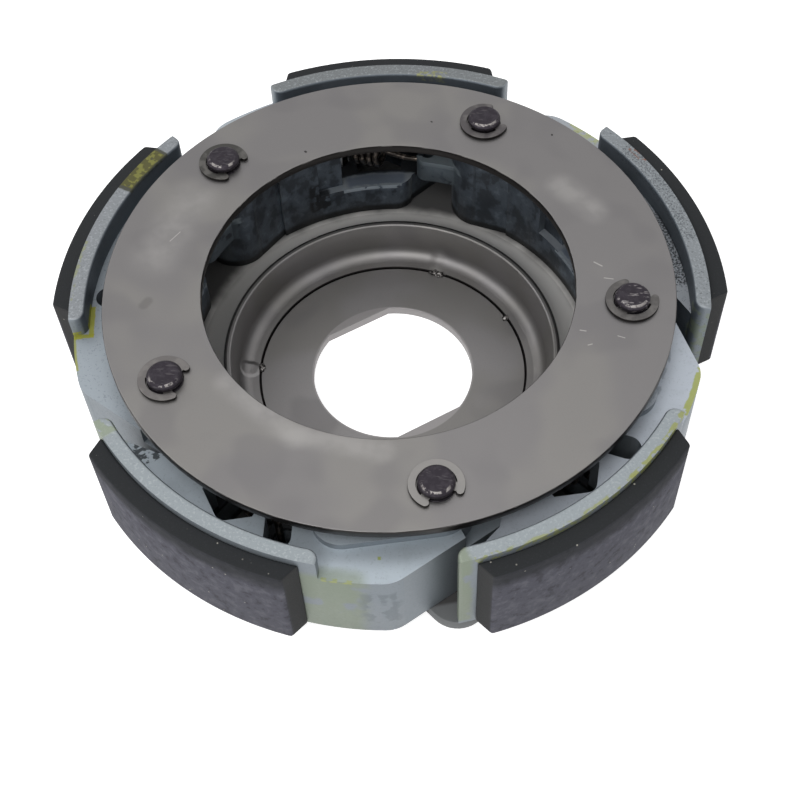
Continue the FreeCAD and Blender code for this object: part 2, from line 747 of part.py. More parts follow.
def cut_shoe(body, pivot):
    """Cut the tail's recess, windows, spring anchors, bevelled inner edge and pivot hole."""
    above = f"shoe_top + {OVERCUT}"
    through = f"shoe_height + 2 * {OVERCUT}"
    stop = "(nose_distance + stop_gap)"
    recess = add_sketch(body, "recess", above)
    past_tail = "(-tail_shift - 2 * boss_radius)"
    draw_outline(
        recess,
        [
            polar("shoe_inner_radius - boss_radius", "ledge_angle"),
            beside("next_nose_angle", "shoe_inner_radius - boss_radius", past_tail),
            beside("next_nose_angle", stop, past_tail),
            polar(f"{stop} / cos(ledge_angle - next_nose_angle)", "ledge_angle"),
        ],
    )
    add_pocket(body, recess, "recess_cut", f"{above} - ledge_top")

    scallop = add_sketch(body, "scallop", above)
    draw_outline(
        scallop,
        [
            polar("shoe_inner_radius - boss_radius", "ledge_angle - 1"),
            polar("scallop_radius", "ledge_angle - 1"),
            polar("scallop_radius", "scallop_angle"),
            polar("shoe_inner_radius - boss_radius", "scallop_angle"),
        ],
        {1: ("scallop_radius", 1)},
    )
    add_pocket(body, scallop, "scallop_cut", f"{above} - ledge_top")

    window = add_sketch(body, "window", above)
    draw_outline(
        window,
        [
            polar("window_inner_radius", "window_start_angle"),
            polar("window_inner_radius", "window_end_angle"),
            polar("window_shoulder_radius", "window_end_angle"),
            polar("window_outer_radius", "window_peak_angle"),
            polar("window_shoulder_radius", "window_start_angle"),
        ],
        {0: ("window_inner_radius", 1)},
    )
    window_cut = add_pocket(body, window, "window_cut", through)
    doc.recompute()

    def at_window_peak(edge, middle):
        upright = abs(edge.tangentAt(edge.FirstParameter).z) > 1 - SAME
        return upright and abs(math.hypot(middle.x, middle.y) - number("window_outer_radius")) < SAME

    peak = edges_where(window_cut, at_window_peak)
    add_fillet(body, window_cut, "window_rounds", peak, "window_round")

    slot = add_sketch(body, "slot", above)
    draw_link(
        slot,
        polar("slot_inner_radius", "slot_angle - slot_tilt"),
        "slot_round",
        polar("slot_outer_radius", "slot_angle"),
        "slot_round",
    )
    add_pocket(body, slot, "slot_cut", through)

    anchor = add_sketch(body, "anchor", above)
    draw_circle(anchor, polar("anchor_radius", "anchor_angle"), "anchor_round")
    add_pocket(body, anchor, "anchor_cut", through)

    groove = add_sketch(body, "anchor_slot", above)
    past_tip = f"anchor_radius * tan(tongue_angle - anchor_angle) + 2 * {OVERCUT}"
    half_width = "anchor_slot_width / 2"
    draw_outline(
        groove,
        [
            beside("anchor_angle", f"anchor_radius - {half_width}", "0"),
            beside("anchor_angle", f"anchor_radius - {half_width}", past_tip),
            beside("anchor_angle", f"anchor_radius + {half_width}", past_tip),
            beside("anchor_angle", f"anchor_radius + {half_width}", "0"),
        ],
    )
    add_pocket(body, groove, "anchor_slot_cut", f"{above} - anchor_floor")

    bevel = add_sketch(body, "bevel", plane="XZ_Plane")
    draw_outline(
        bevel,
        [
            ("shoe_inner_radius - bevel_height", "shoe_top - 2 * bevel_height"),
            ("shoe_inner_radius + bevel_height + pad_height", "shoe_top + pad_height"),
            ("shoe_inner_radius - bevel_height", "shoe_top + pad_height"),
        ],
    )
    bevel_cut = body.newObject("PartDesign::Groove", f"{body.Name}_bevel_cut")
    bevel_cut.Profile = bevel
    bevel_cut.ReferenceAxis = (bevel, ["V_Axis"])
    bevel_cut.Reversed = True
    bind(bevel_cut, "Angle", "heel_angle")
    bevel.Visibility = False

    hole = add_sketch(body, "pivot_hole", f"ring_bottom + {OVERCUT}")
    draw_circle(hole, pivot, "pin_shank_radius + fit_gap")
    add_pocket(body, hole, "pivot_hole_cut", f"ring_bottom - flange_top + {OVERCUT}")


def make_lining(order):
    """Friction lining bonded to the shoe's rim, with bevelled ends."""
    body = add_body(f"lining_{order}")
    outline = add_sketch(body, "outline", "shoe_bottom")
    wide = "lining_half_angle + lining_bevel_angle"
    draw_outline(
        outline,
        [
            polar("rim_outer_radius", f"-({wide})"),
            polar("rim_outer_radius", wide),
            polar("lining_radius", "lining_half_angle"),
            polar("lining_radius", "-lining_half_angle"),
        ],
        {0: ("rim_outer_radius", 1), 2: ("lining_radius", -1)},
    )
    add_pad(body, outline, "lining_pad", "lining_height")
    turn_piece(body, shoe_angle(order))
    return body


def spring_ends(order):
    """Centres of the tongue's anchor hole and of the slot in the next shoe's tail."""
    anchor = polar("anchor_radius", f"{shoe_angle(order)} + anchor_angle - pitch")
    slot = polar("slot_inner_radius", f"{shoe_angle(order)} + slot_angle - slot_tilt")
    return anchor, slot


def draw_wire(sketch, centre, radius):
    """Section of the spring's wire, with a few flat sides that keep its faces few."""
    turn = "(180 / wire_sides)"
    corners = []
    for side in range(int(number("wire_sides"))):
        corner = polar(f"{radius} / cos({turn})", f"{2 * side + 1} * {turn}")
        corners.append((f"{centre[0]} + {corner[0]}", f"{centre[1]} + {corner[1]}"))
    draw_outline(sketch, corners)


def add_hook(body, name, coil_end, tip, drop, turn):
    """Wire from the coil's end to its axis, along the axis, and down at the tip. turn is 1 towards +X.

    The hook is a hair thinner than the coil's wire, so that its side stays inside where they meet.
    """
    path = add_sketch(body, f"{name}_path", plane="XZ_Plane")
    draw_outline(
        path,
        [
            (coil_end, "coil_radius"),
            (coil_end, "hook_bend"),
            (f"{coil_end} + ({turn}) * hook_bend", "0"),
            (f"{tip} - ({turn}) * hook_bend", "0"),
            (tip, "-hook_bend"),
            (tip, f"-{drop}"),
        ],
        {1: ("hook_bend", turn), 3: ("hook_bend", -turn)},
        closed=False,
    )
    section = add_sketch(body, f"{name}_section", "coil_radius")
    draw_wire(section, (coil_end, "0"), "(wire_radius - fit_gap)")
    pipe = body.newObject("PartDesign::AdditivePipe", f"{body.Name}_{name}")
    pipe.Profile = section
    pipe.Spine = (path, [])
    section.Visibility = False
    path.Visibility = False


def make_spring(order):
    """Close-wound tension spring from the tongue's anchor hole to the slot in the tail."""
    body = add_body(f"return_spring_{order}")
    (anchor_x, anchor_y), (slot_x, slot_y) = spring_ends(order)
    run_x = f"({slot_x} - ({anchor_x}))"
    run_y = f"({slot_y} - ({anchor_y}))"
    anchor_play = "(anchor_round - wire_radius - hook_gap)"
    slot_play = "(slot_round - wire_radius - hook_gap)"
    reach = f"(sqrt({run_x} ^ 2 + {run_y} ^ 2) - {anchor_play} - {slot_play})"
    coil_length = "(coil_turns * coil_pitch)"
    coil_start = f"({reach} - hook_reach - {coil_length})"

    section = add_sketch(body, "wire", plane="XZ_Plane")
    draw_wire(section, (coil_start, "coil_radius"), "wire_radius")
    coil = body.newObject("PartDesign::AdditiveHelix", f"{body.Name}_coil")
    coil.Profile = section
    coil.ReferenceAxis = (section, ["H_Axis"])
    coil.Mode = "pitch-turns-angle"
    bind(coil, "Pitch", "coil_pitch")
    bind(coil, "Turns", "coil_turns")
    section.Visibility = False
    add_hook(body, "tongue_hook", coil_start, "0", "(spring_height - tongue_bottom - hook_gap)", -1)
    add_hook(body, "tail_hook", f"({reach} - hook_reach)", reach, "tail_hook_drop", 1)

    heading = f"atan2({run_y}; {run_x})"
    bind(body, "Placement.Base.x", f"{anchor_x} + {anchor_play} * cos({heading})")
    bind(body, "Placement.Base.y", f"{anchor_y} + {anchor_play} * sin({heading})")
    bind(body, "Placement.Base.z", "spring_height")
    turn_piece(body, heading)
    return body


def build():
    """Make every piece of the clutch."""
    pieces = [make_drive_plate(), make_hub_plate(), make_ring_plate()]
    for order in range(1, int(number("shoe_count")) + 1):
        pieces.append(make_pin(order))
        pieces.append(make_clip(order))
        pieces.append(make_shoe(order))
        pieces.append(make_lining(order))
        pieces.append(make_spring(order))
    return pieces


def check(pieces):
    """Stop if any object failed or any piece isn't one valid solid."""
    for item in doc.Objects:
        if "Invalid" in item.State or "Error" in item.State:
            raise RuntimeError(f"{item.Name} failed: {item.State}")
    for piece in pieces:
        if piece.Shape.isNull() or not piece.Shape.isValid() or len(piece.Shape.Solids) != 1:
            raise RuntimeError(f"{piece.Label} is not one valid solid")


def write(pieces):
    """Write each piece to a file that its label names."""
    os.makedirs("parts", exist_ok=True)
    for piece in pieces:
        piece.Shape.exportStep(f"parts/{piece.Label}.step")


sheet = fill_sheet()
clutch = build()
doc.recompute()
check(clutch)
write(clutch)
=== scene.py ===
"""Looks, light and camera for a centrifugal clutch with five swinging lined shoes."""
import logging
import math
from dataclasses import dataclass
from enum import Enum

import bmesh
import bpy
from mathutils import Matrix, Vector, noise


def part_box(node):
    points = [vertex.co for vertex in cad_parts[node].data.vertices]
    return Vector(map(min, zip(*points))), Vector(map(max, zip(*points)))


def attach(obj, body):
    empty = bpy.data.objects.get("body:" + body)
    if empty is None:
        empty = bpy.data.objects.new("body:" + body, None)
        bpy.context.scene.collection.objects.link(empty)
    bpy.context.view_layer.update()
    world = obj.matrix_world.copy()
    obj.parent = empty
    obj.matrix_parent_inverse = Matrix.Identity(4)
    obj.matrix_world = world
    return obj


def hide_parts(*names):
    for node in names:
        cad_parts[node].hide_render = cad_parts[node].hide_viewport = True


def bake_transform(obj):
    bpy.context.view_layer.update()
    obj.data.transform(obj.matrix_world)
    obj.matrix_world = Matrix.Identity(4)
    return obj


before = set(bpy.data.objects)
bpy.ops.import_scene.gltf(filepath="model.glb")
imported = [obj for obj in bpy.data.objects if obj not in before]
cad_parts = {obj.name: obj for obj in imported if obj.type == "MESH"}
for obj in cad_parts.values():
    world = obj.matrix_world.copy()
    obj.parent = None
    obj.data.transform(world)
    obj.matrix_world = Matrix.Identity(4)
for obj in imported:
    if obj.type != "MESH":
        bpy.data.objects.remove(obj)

log = logging.getLogger("clutch")

Socket = bpy.types.NodeSocket
Place = tuple[float, float, float]
Span = tuple[float, float]

# Sizes are in millimetres and angles in degrees, and MM turns a size into the frame's metres.
MM = 0.001
SHOE_COUNT = 5
PITCH = 360 / SHOE_COUNT
PIVOT_RADIUS = 52.5
RIM_RADIUS = 69.0
LEAD_ANGLE = 46.6
RING_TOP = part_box("side_plate")[1][2] / MM
SHOE_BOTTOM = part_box("shoe_1")[0][2] / MM
RIM_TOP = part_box("shoe_1")[1][2] / MM

# Heights between which a mark lies on the flat top of a shoe's web, or on the top of its rim.
ON_WEB: Span = (27.6, 29.0)
ON_RIM: Span = (32.4, 35.0)

# Factors that drop a direction's or a place's height.
LEVEL: Place = (1, 1, 0)

# A face starts to count as facing up, or sideways, at the first cosine of its tilt and fully does at
# the second.
TURNED_UP: Span = (0.45, 0.85)
TURNED_SIDEWAYS: Span = (0.35, 0.75)


class Facing(Enum):
    """Ways that a bit of a turned or cast surface can face."""

    UP = "up"
    IN = "towards the shaft"
    OUT = "away from the shaft"


def linear(colour: str) -> tuple[float, float, float, float]:
    """Turn an sRGB hex colour such as "#8a8683" into linear red, green, blue and alpha.

    Args:
        colour: Six hex digits after a hash.

    Returns:
        Linear components, with alpha 1.
    """
    channels = []
    for start in (1, 3, 5):
        value = int(colour[start : start + 2], 16) / 255
        channels.append(value / 12.92 if value <= 0.04045 else ((value + 0.055) / 1.055) ** 2.4)
    return (*channels, 1.0)


def add_node(
    tree: bpy.types.NodeTree, kind: str, settings: dict | None = None, inputs: dict | None = None
) -> bpy.types.Node:
    """Add a node, set its properties, and set or link its inputs.

    Args:
        tree: Node tree that gets the node.
        kind: Node type after "ShaderNode".
        settings: Properties of the node by name.
        inputs: Values or output sockets by input name or number.

    Returns:
        The new node.
    """
    node = tree.nodes.new(f"ShaderNode{kind}")
    for name, value in (settings or {}).items():
        setattr(node, name, value)
    for name, value in (inputs or {}).items():
        if isinstance(value, Socket):
            tree.links.new(value, node.inputs[name])
        else:
            node.inputs[name].default_value = value
    return node


def polar(radius: float, angle: float, height: float) -> Place:
    """Point from a radius in millimetres, an angle in degrees and a height."""
    return (radius * math.cos(math.radians(angle)), radius * math.sin(math.radians(angle)), height)


def on_ring(radius: float, angle: float) -> Place:
    """Point on top of the ring plate from a radius and an angle."""
    return polar(radius, angle, RING_TOP)


def shoe_angle(order: int) -> float:
    """Direction of a shoe's lining centre, in degrees."""
    return PITCH * (order - 1) - LEAD_ANGLE


@dataclass(frozen=True)
class Stroke:
    """A scratch or smear along a line, in millimetres, whose edge fades over the soft share of its width."""

    start: Place
    end: Place
    width: float
    soft: float = 0.4


@dataclass(frozen=True)
class Smear:
    """Paint, stain, bare metal, painted light or painted shade on a shoe, in polar measures from the middle
    of its lining.

    The cover is the share of the area that it hides, and the breaks between are as wide as the size.
    """

    colour: str
    radius: Span
    angle: Span
    height: Span
    strength: float = 0.8
    cover: float = 0.7
    size: float = 2.0
    soft: float = 0.3


class Surface:
    """A material that is being put together: its tree, its place in millimetres and its shader."""

    def __init__(self, name: str, centre: float = 0.0) -> None:
        """Make the material with a bare shader and its coordinates.

        Args:
            name: Name of the material.
            centre: Direction in degrees from which angles are counted.
        """
        self.material = bpy.data.materials.new(name)
        self.material.use_nodes = True
        self.tree = self.material.node_tree
        self.tree.nodes.clear()
        output = add_node(self.tree, "OutputMaterial")
        self.shader = add_node(self.tree, "BsdfPrincipled")
        self.tree.links.new(self.shader.outputs[0], output.inputs["Surface"])
        coordinate = add_node(self.tree, "TexCoord")
        self.normal = coordinate.outputs["Normal"]
        scaled = {0: coordinate.outputs["Object"], "Scale": 1 / MM}
        self.place = self.add("VectorMath", {"operation": "SCALE"}, scaled)
        swung = {"Vector": self.place, "Angle": math.radians(-centre)}
        turned = self.add("VectorRotate", {"rotation_type": "Z_AXIS"}, swung)
        split = add_node(self.tree, "SeparateXYZ", {}, {0: turned})
        self.height = split.outputs["Z"]
        level = self.add("VectorMath", {"operation": "MULTIPLY"}, {0: turned, 1: LEVEL})
        self.radius = self.add("VectorMath", {"operation": "LENGTH"}, {0: level}, "Value")
        bearing = self.add("Math", {"operation": "ARCTAN2"}, {0: split.outputs["Y"], 1: split.outputs["X"]})
        self.angle = self.both(bearing, math.degrees(1))

    def add(self, kind: str, settings: dict, inputs: dict, output: str | int = 0) -> Socket:
        """Add a node to the material and give one of its outputs."""
        return add_node(self.tree, kind, settings, inputs).outputs[output]

    def grain(
        self,
        size: float,
        detail: float = 2.0,
        roughness: float = 0.5,
        shift: float = 0.0,
        stretch: Place = (1, 1, 1),
    ) -> Socket:
        """Noise between 0 and 1.

        Args:
            size: Width of one grain in millimetres.
            detail: Octaves of finer noise.
            roughness: Strength of the finer noise.
            shift: Offset that makes one pattern differ from another.
            stretch: How much longer than wide the grains are along X, Y and Z.

        Returns:
            Socket with the noise.
        """
        squeezed = self.add("VectorMath", {"operation": "DIVIDE"}, {0: self.place, 1: stretch})
        offset = (shift, shift * 0.7, shift * 0.3)
        moved = self.add("VectorMath", {"operation": "ADD"}, {0: squeezed, 1: offset})
        pattern = {"Vector": moved, "Scale": 1 / size, "Detail": detail, "Roughness": roughness}
        return self.add("TexNoise", {}, pattern, "Fac")

    def spots(self, size: float, share: float) -> Socket:
        """Round spots, 1 inside and 0 outside.

        Args:
            size: Distance between neighbouring spots in millimetres.
            share: Radius of a spot as a share of that distance.

        Returns:
            Socket with the spots.
        """
        away = self.add("TexVoronoi", {}, {"Vector": self.place, "Scale": 1 / size}, "Distance")
        return self.between(away, share, share * 0.5)

    def wavy(self, measure: Socket, pattern: Socket, reach: float) -> Socket:
        """Measure in millimetres or degrees that a pattern carries away by up to its reach."""
        return self.add("Math", {"operation": "ADD"}, {0: measure, 1: self.both(pattern, reach)})

    def between(self, value: Socket, low: float, high: float) -> Socket:
        """Mask that rises from 0 at low to 1 at high, and is flat beyond them. low may be the larger.

        Args:
            value: Pattern, or place in millimetres or degrees.
            low: Value at which the mask is 0.
            high: Value at which the mask is 1.

        Returns:
            Socket with the mask.
        """
        settings = {"clamp": True, "interpolation_type": "SMOOTHSTEP"}
        ramp = {"Value": value, "From Min": low, "From Max": high}
        return self.add("MapRange", settings, ramp, "Result")

    def window(self, value: Socket, low: float, high: float, soft: float) -> Socket:
        """Mask that is 1 from low to high and fades to 0 over the soft width outside them."""
        return self.both(self.between(value, low - soft, low), self.between(value, high + soft, high))

    def both(self, first: Socket, second: Socket | float) -> Socket:
        """Product of two masks, or of a mask and a strength."""
        return self.add("Math", {"operation": "MULTIPLY"}, {0: first, 1: second})

    def either(self, first: Socket, second: Socket) -> Socket:
        """Larger of two masks."""
        return self.add("Math", {"operation": "MAXIMUM"}, {0: first, 1: second})

    def facing(self, way: Facing) -> Socket:
        """Mask of the surface that faces a way.

        Args:
            way: Up, towards the shaft or away from it.

        Returns:
            Socket with the mask.
        """
        if way is Facing.UP:
            rise = self.add("SeparateXYZ", {}, {0: self.normal}, "Z")
            return self.between(rise, *TURNED_UP)
        level = self.add("VectorMath", {"operation": "MULTIPLY"}, {0: self.place, 1: LEVEL})
        outward = self.add("VectorMath", {"operation": "NORMALIZE"}, {0: level})
        lean = self.add("VectorMath", {"operation": "DOT_PRODUCT"}, {0: self.normal, 1: outward}, "Value")
        sign = 1 if way is Facing.OUT else -1
        return self.between(lean, *(cosine * sign for cosine in TURNED_SIDEWAYS))

    def stroke(self, mark: Stroke) -> Socket:
        """Mask of a stroke: 1 along its line, and 0 outside its width.

        Args:
            mark: The stroke.

        Returns:
            Socket with the mask.
        """
        start = Vector(mark.start)
        run = Vector(mark.end) - start
        step = tuple(run / run.length_squared)
        local = self.add("VectorMath", {"operation": "SUBTRACT"}, {0: self.place, 1: tuple(start)})
        along = self.add("VectorMath", {"operation": "DOT_PRODUCT"}, {0: local, 1: step}, "Value")
        held = self.add("Clamp", {}, {"Value": along})
        nearest = self.add("VectorMath", {"operation": "SCALE"}, {0: tuple(run), "Scale": held})
        away = self.add("VectorMath", {"operation": "DISTANCE"}, {0: local, 1: nearest}, "Value")
        return self.between(away, mark.width, mark.width * (1 - mark.soft))

    def smear(self, mark: Smear) -> Socket:
        """Mask of a smear on a shoe, with ragged edges and breaks.

        Args:
            mark: The smear.

        Returns:
            Socket with the mask.
        """
        ragged = self.grain(mark.size, 3.0, 0.6, shift=mark.angle[0] * 3.1)
        wander = self.add("Math", {"operation": "SUBTRACT"}, {0: ragged, 1: 0.5})
        reach = mark.size * 0.5
        radius = self.wavy(self.radius, wander, reach)
        angle = self.wavy(self.angle, wander, math.degrees(reach / RIM_RADIUS))
        area = self.window(radius, *mark.radius, mark.soft)
        area = self.both(area, self.window(angle, *mark.angle, mark.soft))
        area = self.both(area, self.window(self.height, *mark.height, mark.soft))
        if mark.cover < 1:
            patchy = self.grain(mark.size, 2.0, 0.5, shift=mark.angle[1] * 2.3)
            edge = 0.5 + 0.45 * (0.5 - mark.cover)
            area = self.both(area, self.between(patchy, edge - 0.05, edge + 0.05))
        return self.both(area, mark.strength)

    def coat(self, mask: Socket | float, base: Socket | str, over: Socket | str) -> Socket:
        """Colour laid over another where the mask is 1.

        Args:
            mask: Where the upper colour shows.
            base: Lower colour, as a socket or sRGB hex.
            over: Upper colour, as a socket or sRGB hex.

        Returns:
            Socket with the colour.
        """
        lower, upper = (linear(item) if isinstance(item, str) else item for item in (base, over))
        return self.add("Mix", {"data_type": "RGBA"}, {"Factor": mask, 6: lower, 7: upper}, 2)

    def grade(self, mask: Socket, low: float, high: float) -> Socket:
        """Number that goes from low to high with the mask."""
        return self.add("MapRange", {}, {"Value": mask, "To Min": low, "To Max": high}, "Result")

    def dress(
        self, colour: Socket, roughness: Socket, metallic: float, reliefs: list[tuple[Socket, float]]
    ) -> bpy.types.Material:
        """Connect the shader and return the material.

        Args:
            colour: Base colour.
            roughness: Roughness.
            metallic: 1 for bare metal and 0 for anything else.
            reliefs: Height patterns between 0 and 1, each with its height in millimetres.

        Returns:
            The finished material.
        """
        bent = None
        for pattern, depth in reliefs:
            inputs = {"Height": pattern, "Distance": depth * MM, "Strength": 1.0}
            if bent is not None:
                inputs["Normal"] = bent
            bent = self.add("Bump", {}, inputs)
        self.shader.inputs["Metallic"].default_value = metallic
        self.tree.links.new(colour, self.shader.inputs["Base Color"])
        self.tree.links.new(roughness, self.shader.inputs["Roughness"])
        self.tree.links.new(bent, self.shader.inputs["Normal"])
        return self.material


@dataclass(frozen=True)
class TumbledSheetSteel:
    """Cold-rolled sheet, blanked and tumbled.

    It looks neutral grey and satin, with soft pale smears and a few scratches, and its side walls are painted
    dark as shade.
    """

    name: str = "tumbled_sheet_steel"
    colour: str = "#797777"
    pale: str = "#9a9896"
    stain: str = "#5f5d5c"
    warm: str = "#7f7d7b"
    shade: str = "#716f70"
    patch_strength: float = 0.5
    grain_strength: float = 0.25
    # Colour of the side walls, painted dark as shade.
    side_shade: str = "#2e2c2b"
    scratch: str = "#b9b6b2"
    speck: str = "#3c3a3a"
    cloud_size: float = 24.0
    patch_size: float = 13.2
    # The tumbling marks are about 0.05 mm wide, and are drawn this coarse so that they show.
    grain_size: float = 0.35
    grain_depth: float = 0.008
    smear_break: float = 6.0
    smear_strength: Span = (0.3, 0.6)
    stain_strength: float = 0.45
    scratch_strength: float = 0.55
    roughness: Span = (0.36, 0.46)
    metallic: float = 0.9
    smears: tuple[Stroke, ...] = (
        Stroke(on_ring(47.5, 42), on_ring(50.0, 30), 5.0, 0.9),
        Stroke(on_ring(42.0, -134), on_ring(43.5, -108), 4.6, 0.9),
        Stroke(on_ring(43.5, -108), on_ring(43.5, -84), 4.0, 0.9),
        Stroke(on_ring(52.0, 178), on_ring(51.0, 158), 8.0, 1.0),
    )
    stains: tuple[Stroke, ...] = (Stroke(on_ring(52.0, -168.0), on_ring(52.9, -166.8), 1.5, 0.6),)
    scratches: tuple[Stroke, ...] = (
        Stroke(on_ring(45.1, 12.9), on_ring(46.6, 11.3), 0.2),
        Stroke(on_ring(46.7, 7.2), on_ring(48.6, 6.8), 0.15),
        Stroke(on_ring(42.9, -11.9), on_ring(44.1, -11.7), 0.18),
        Stroke(on_ring(45.6, -16.0), on_ring(46.3, -15.3), 0.16),
        Stroke(on_ring(50.8, -10.8), on_ring(52.3, -10.9), 0.14),
        Stroke(on_ring(49.0, 169.1), on_ring(50.2, 172.7), 0.14),
    )
    specks: tuple[Stroke, ...] = (
        Stroke(on_ring(43.7, 123.5), on_ring(43.9, 123.6), 0.35),
        Stroke(on_ring(49.2, 85.4), on_ring(49.3, 85.6), 0.25),
        Stroke(on_ring(57.5, 55.8), on_ring(57.6, 55.9), 0.3),
    )

    def material(self) -> bpy.types.Material:
        """Build the material.

        Returns:
            The finished material.
        """
        surface = Surface(self.name)
        colour, roughness, fine = self.skin(surface)
        top = surface.facing(Facing.UP)
        patchy = surface.between(surface.grain(self.smear_break, detail=3.0, shift=3.0), 0.35, 0.65)
        broken = surface.grade(patchy, *self.smear_strength)
        for mark in self.smears:
            colour = surface.coat(surface.both(surface.stroke(mark), broken), colour, self.pale)
        for mark in self.stains:
            colour = surface.coat(surface.both(surface.stroke(mark), self.stain_strength), colour, self.stain)
        for mark in self.scratches:
            scored = surface.both(surface.stroke(mark), self.scratch_strength)
            colour = surface.coat(scored, colour, self.scratch)
        for mark in self.specks:
            colour = surface.coat(surface.stroke(mark), colour, self.speck)
        # Painted shade: faces that do not face up take the dark side colour.
        colour = surface.coat(top, self.side_shade, colour)
        return surface.dress(colour, roughness, self.metallic, [(fine, self.grain_depth)])

    def skin(self, surface: Surface) -> tuple[Socket, Socket, Socket]:
        """Cloudy colour, roughness and fine grain of the bare sheet.

        Args:
            surface: Material that gets them.

        Returns:
            Sockets with the colour, the roughness and the grain.
        """
        clouds = surface.grain(self.cloud_size, detail=1.5)
        patches = surface.grain(self.patch_size, detail=1.0, shift=31.0)
        fine = surface.grain(self.grain_size, detail=2.0)
        colour = surface.coat(surface.between(clouds, 0.45, 0.6), self.colour, self.warm)
        patchy = surface.both(surface.between(patches, 0.5, 0.35), self.patch_strength)
        colour = surface.coat(patchy, colour, self.shade)
        grainy = surface.both(surface.between(fine, 0.55, 0.8), self.grain_strength)
        colour = surface.coat(grainy, colour, self.shade)
        return colour, surface.grade(clouds, *self.roughness), fine


@dataclass(frozen=True)
class PressedDishSteel(TumbledSheetSteel):
    """The same sheet, deep-drawn to a dish.

    It looks smooth, with a dark joint round the hub and dents where it is staked, and it has painted light on
    its flange and on the wall of its bore, a painted shadow by the shoes and painted shade on the lip.
    """

    name: str = "pressed_dish_steel"
    colour: str = "#868484"
    grain_depth: float = 0.006
    floor_top: float = 2.9
    floor_fade: float = 0.3
    joint: str = "#1d1b1b"
    joint_radius: float = 31.25
    joint_width: float = 0.2
    joint_fade: float = 0.15
    # Paler colour of the bore's wall, as painted light.
    bore_wall_light: str = "#9a9797"
    bore_wall_light_strength: float = 0.8
    bore_radius: float = 19.2
    # Pale colour of the flange, painted light that makes it brighter than the rest of the dish.
    flange_light: str = "#d4d2cf"
    dull_metallic: float = 0.4
    dull_roughness: Span = (0.08, 0.35)
    # Colour of the painted shadow on the flange by the shoes' feet.
    shoe_shadow: str = "#2b2b2c"
    shoe_shadow_strength: float = 0.92
    shoe_shadow_radius: Span = (42.0, 46.5)
    streak_size: float = 6.0
    streak_reach: float = 3.0
    lip_shade: str = "#262525"
    lip_shade_strength: float = 0.85
    lip_radius: float = 38.1
    lip_foot: float = 9.5
    ear: str = "#77797a"
    flange_radius: float = 39.0
    ear_radius: float = 64.0
    dent_depth: float = 0.35
    dents: tuple[Stroke, ...] = (
        Stroke(polar(33.6, 78.5, 3.0), polar(35.0, 78.5, 4.0), 2.6, 1.0),
        Stroke(polar(33.4, 186.0, 3.0), polar(34.2, 186.0, 3.4), 2.5, 0.45),
    )

    def material(self) -> bpy.types.Material:
        """Build the material.

        Returns:
            The finished material.
        """
        surface = Surface(self.name)
        colour, roughness, fine = self.skin(surface)
        reliefs = [(fine, self.grain_depth)]
        for dent in self.dents:
            reliefs.append((surface.stroke(dent), self.dent_depth))
        colour = self.joint_and_painted_shading(surface, colour)
        flange = surface.between(surface.radius, self.flange_radius - 0.5, self.flange_radius)
        # Painted light: the flange takes the pale colour.
        colour = surface.coat(flange, colour, self.flange_light)
        # Painted shadow on the flange next to the shoes, with a streaky inner edge.
        streaks = surface.grain(self.streak_size, detail=3.0, shift=17.0)
        inner_edge = surface.wavy(surface.radius, streaks, -self.streak_reach)
        shoe_shadow = surface.between(inner_edge, *self.shoe_shadow_radius)
        colour = surface.coat(surface.both(shoe_shadow, self.shoe_shadow_strength), colour, self.shoe_shadow)
        ears = surface.between(surface.radius, self.ear_radius, self.ear_radius + 1)
        colour = surface.coat(ears, colour, self.ear)
        duller = surface.grade(flange, *self.dull_roughness)
        roughness = surface.add("Math", {"operation": "ADD"}, {0: roughness, 1: duller})
        material = surface.dress(colour, roughness, self.metallic, reliefs)
        shine = surface.grade(flange, self.metallic, self.dull_metallic)
        surface.tree.links.new(shine, surface.shader.inputs["Metallic"])
        return material

    def joint_and_painted_shading(self, surface: Surface, colour: Socket) -> Socket:
        """Dark joint round the hub, painted light on the wall of its bore, and painted shade behind the
        dish's lip.

        Args:
            surface: Material that gets them.
            colour: Colour so far.

        Returns:
            Colour with the three.
        """
        low = surface.between(surface.height, self.floor_top + self.floor_fade, self.floor_top)
        span = (self.joint_radius - self.joint_width, self.joint_radius + self.joint_width)
        joint = surface.both(surface.window(surface.radius, *span, self.joint_fade), low)
        colour = surface.coat(joint, colour, self.joint)
        # Painted light: the bore's wall is made paler.
        lit_bore_wall = surface.both(surface.between(surface.radius, self.bore_radius, self.bore_radius - 0.3), low)
        colour = surface.coat(surface.both(lit_bore_wall, self.bore_wall_light_strength), colour, self.bore_wall_light)
        lip = surface.window(surface.radius, self.lip_radius, self.flange_radius - 0.3, 0.2)
        lip = surface.both(lip, surface.between(surface.height, self.lip_foot, self.lip_foot + 1.0))
        return surface.coat(surface.both(lip, self.lip_shade_strength), colour, self.lip_shade)


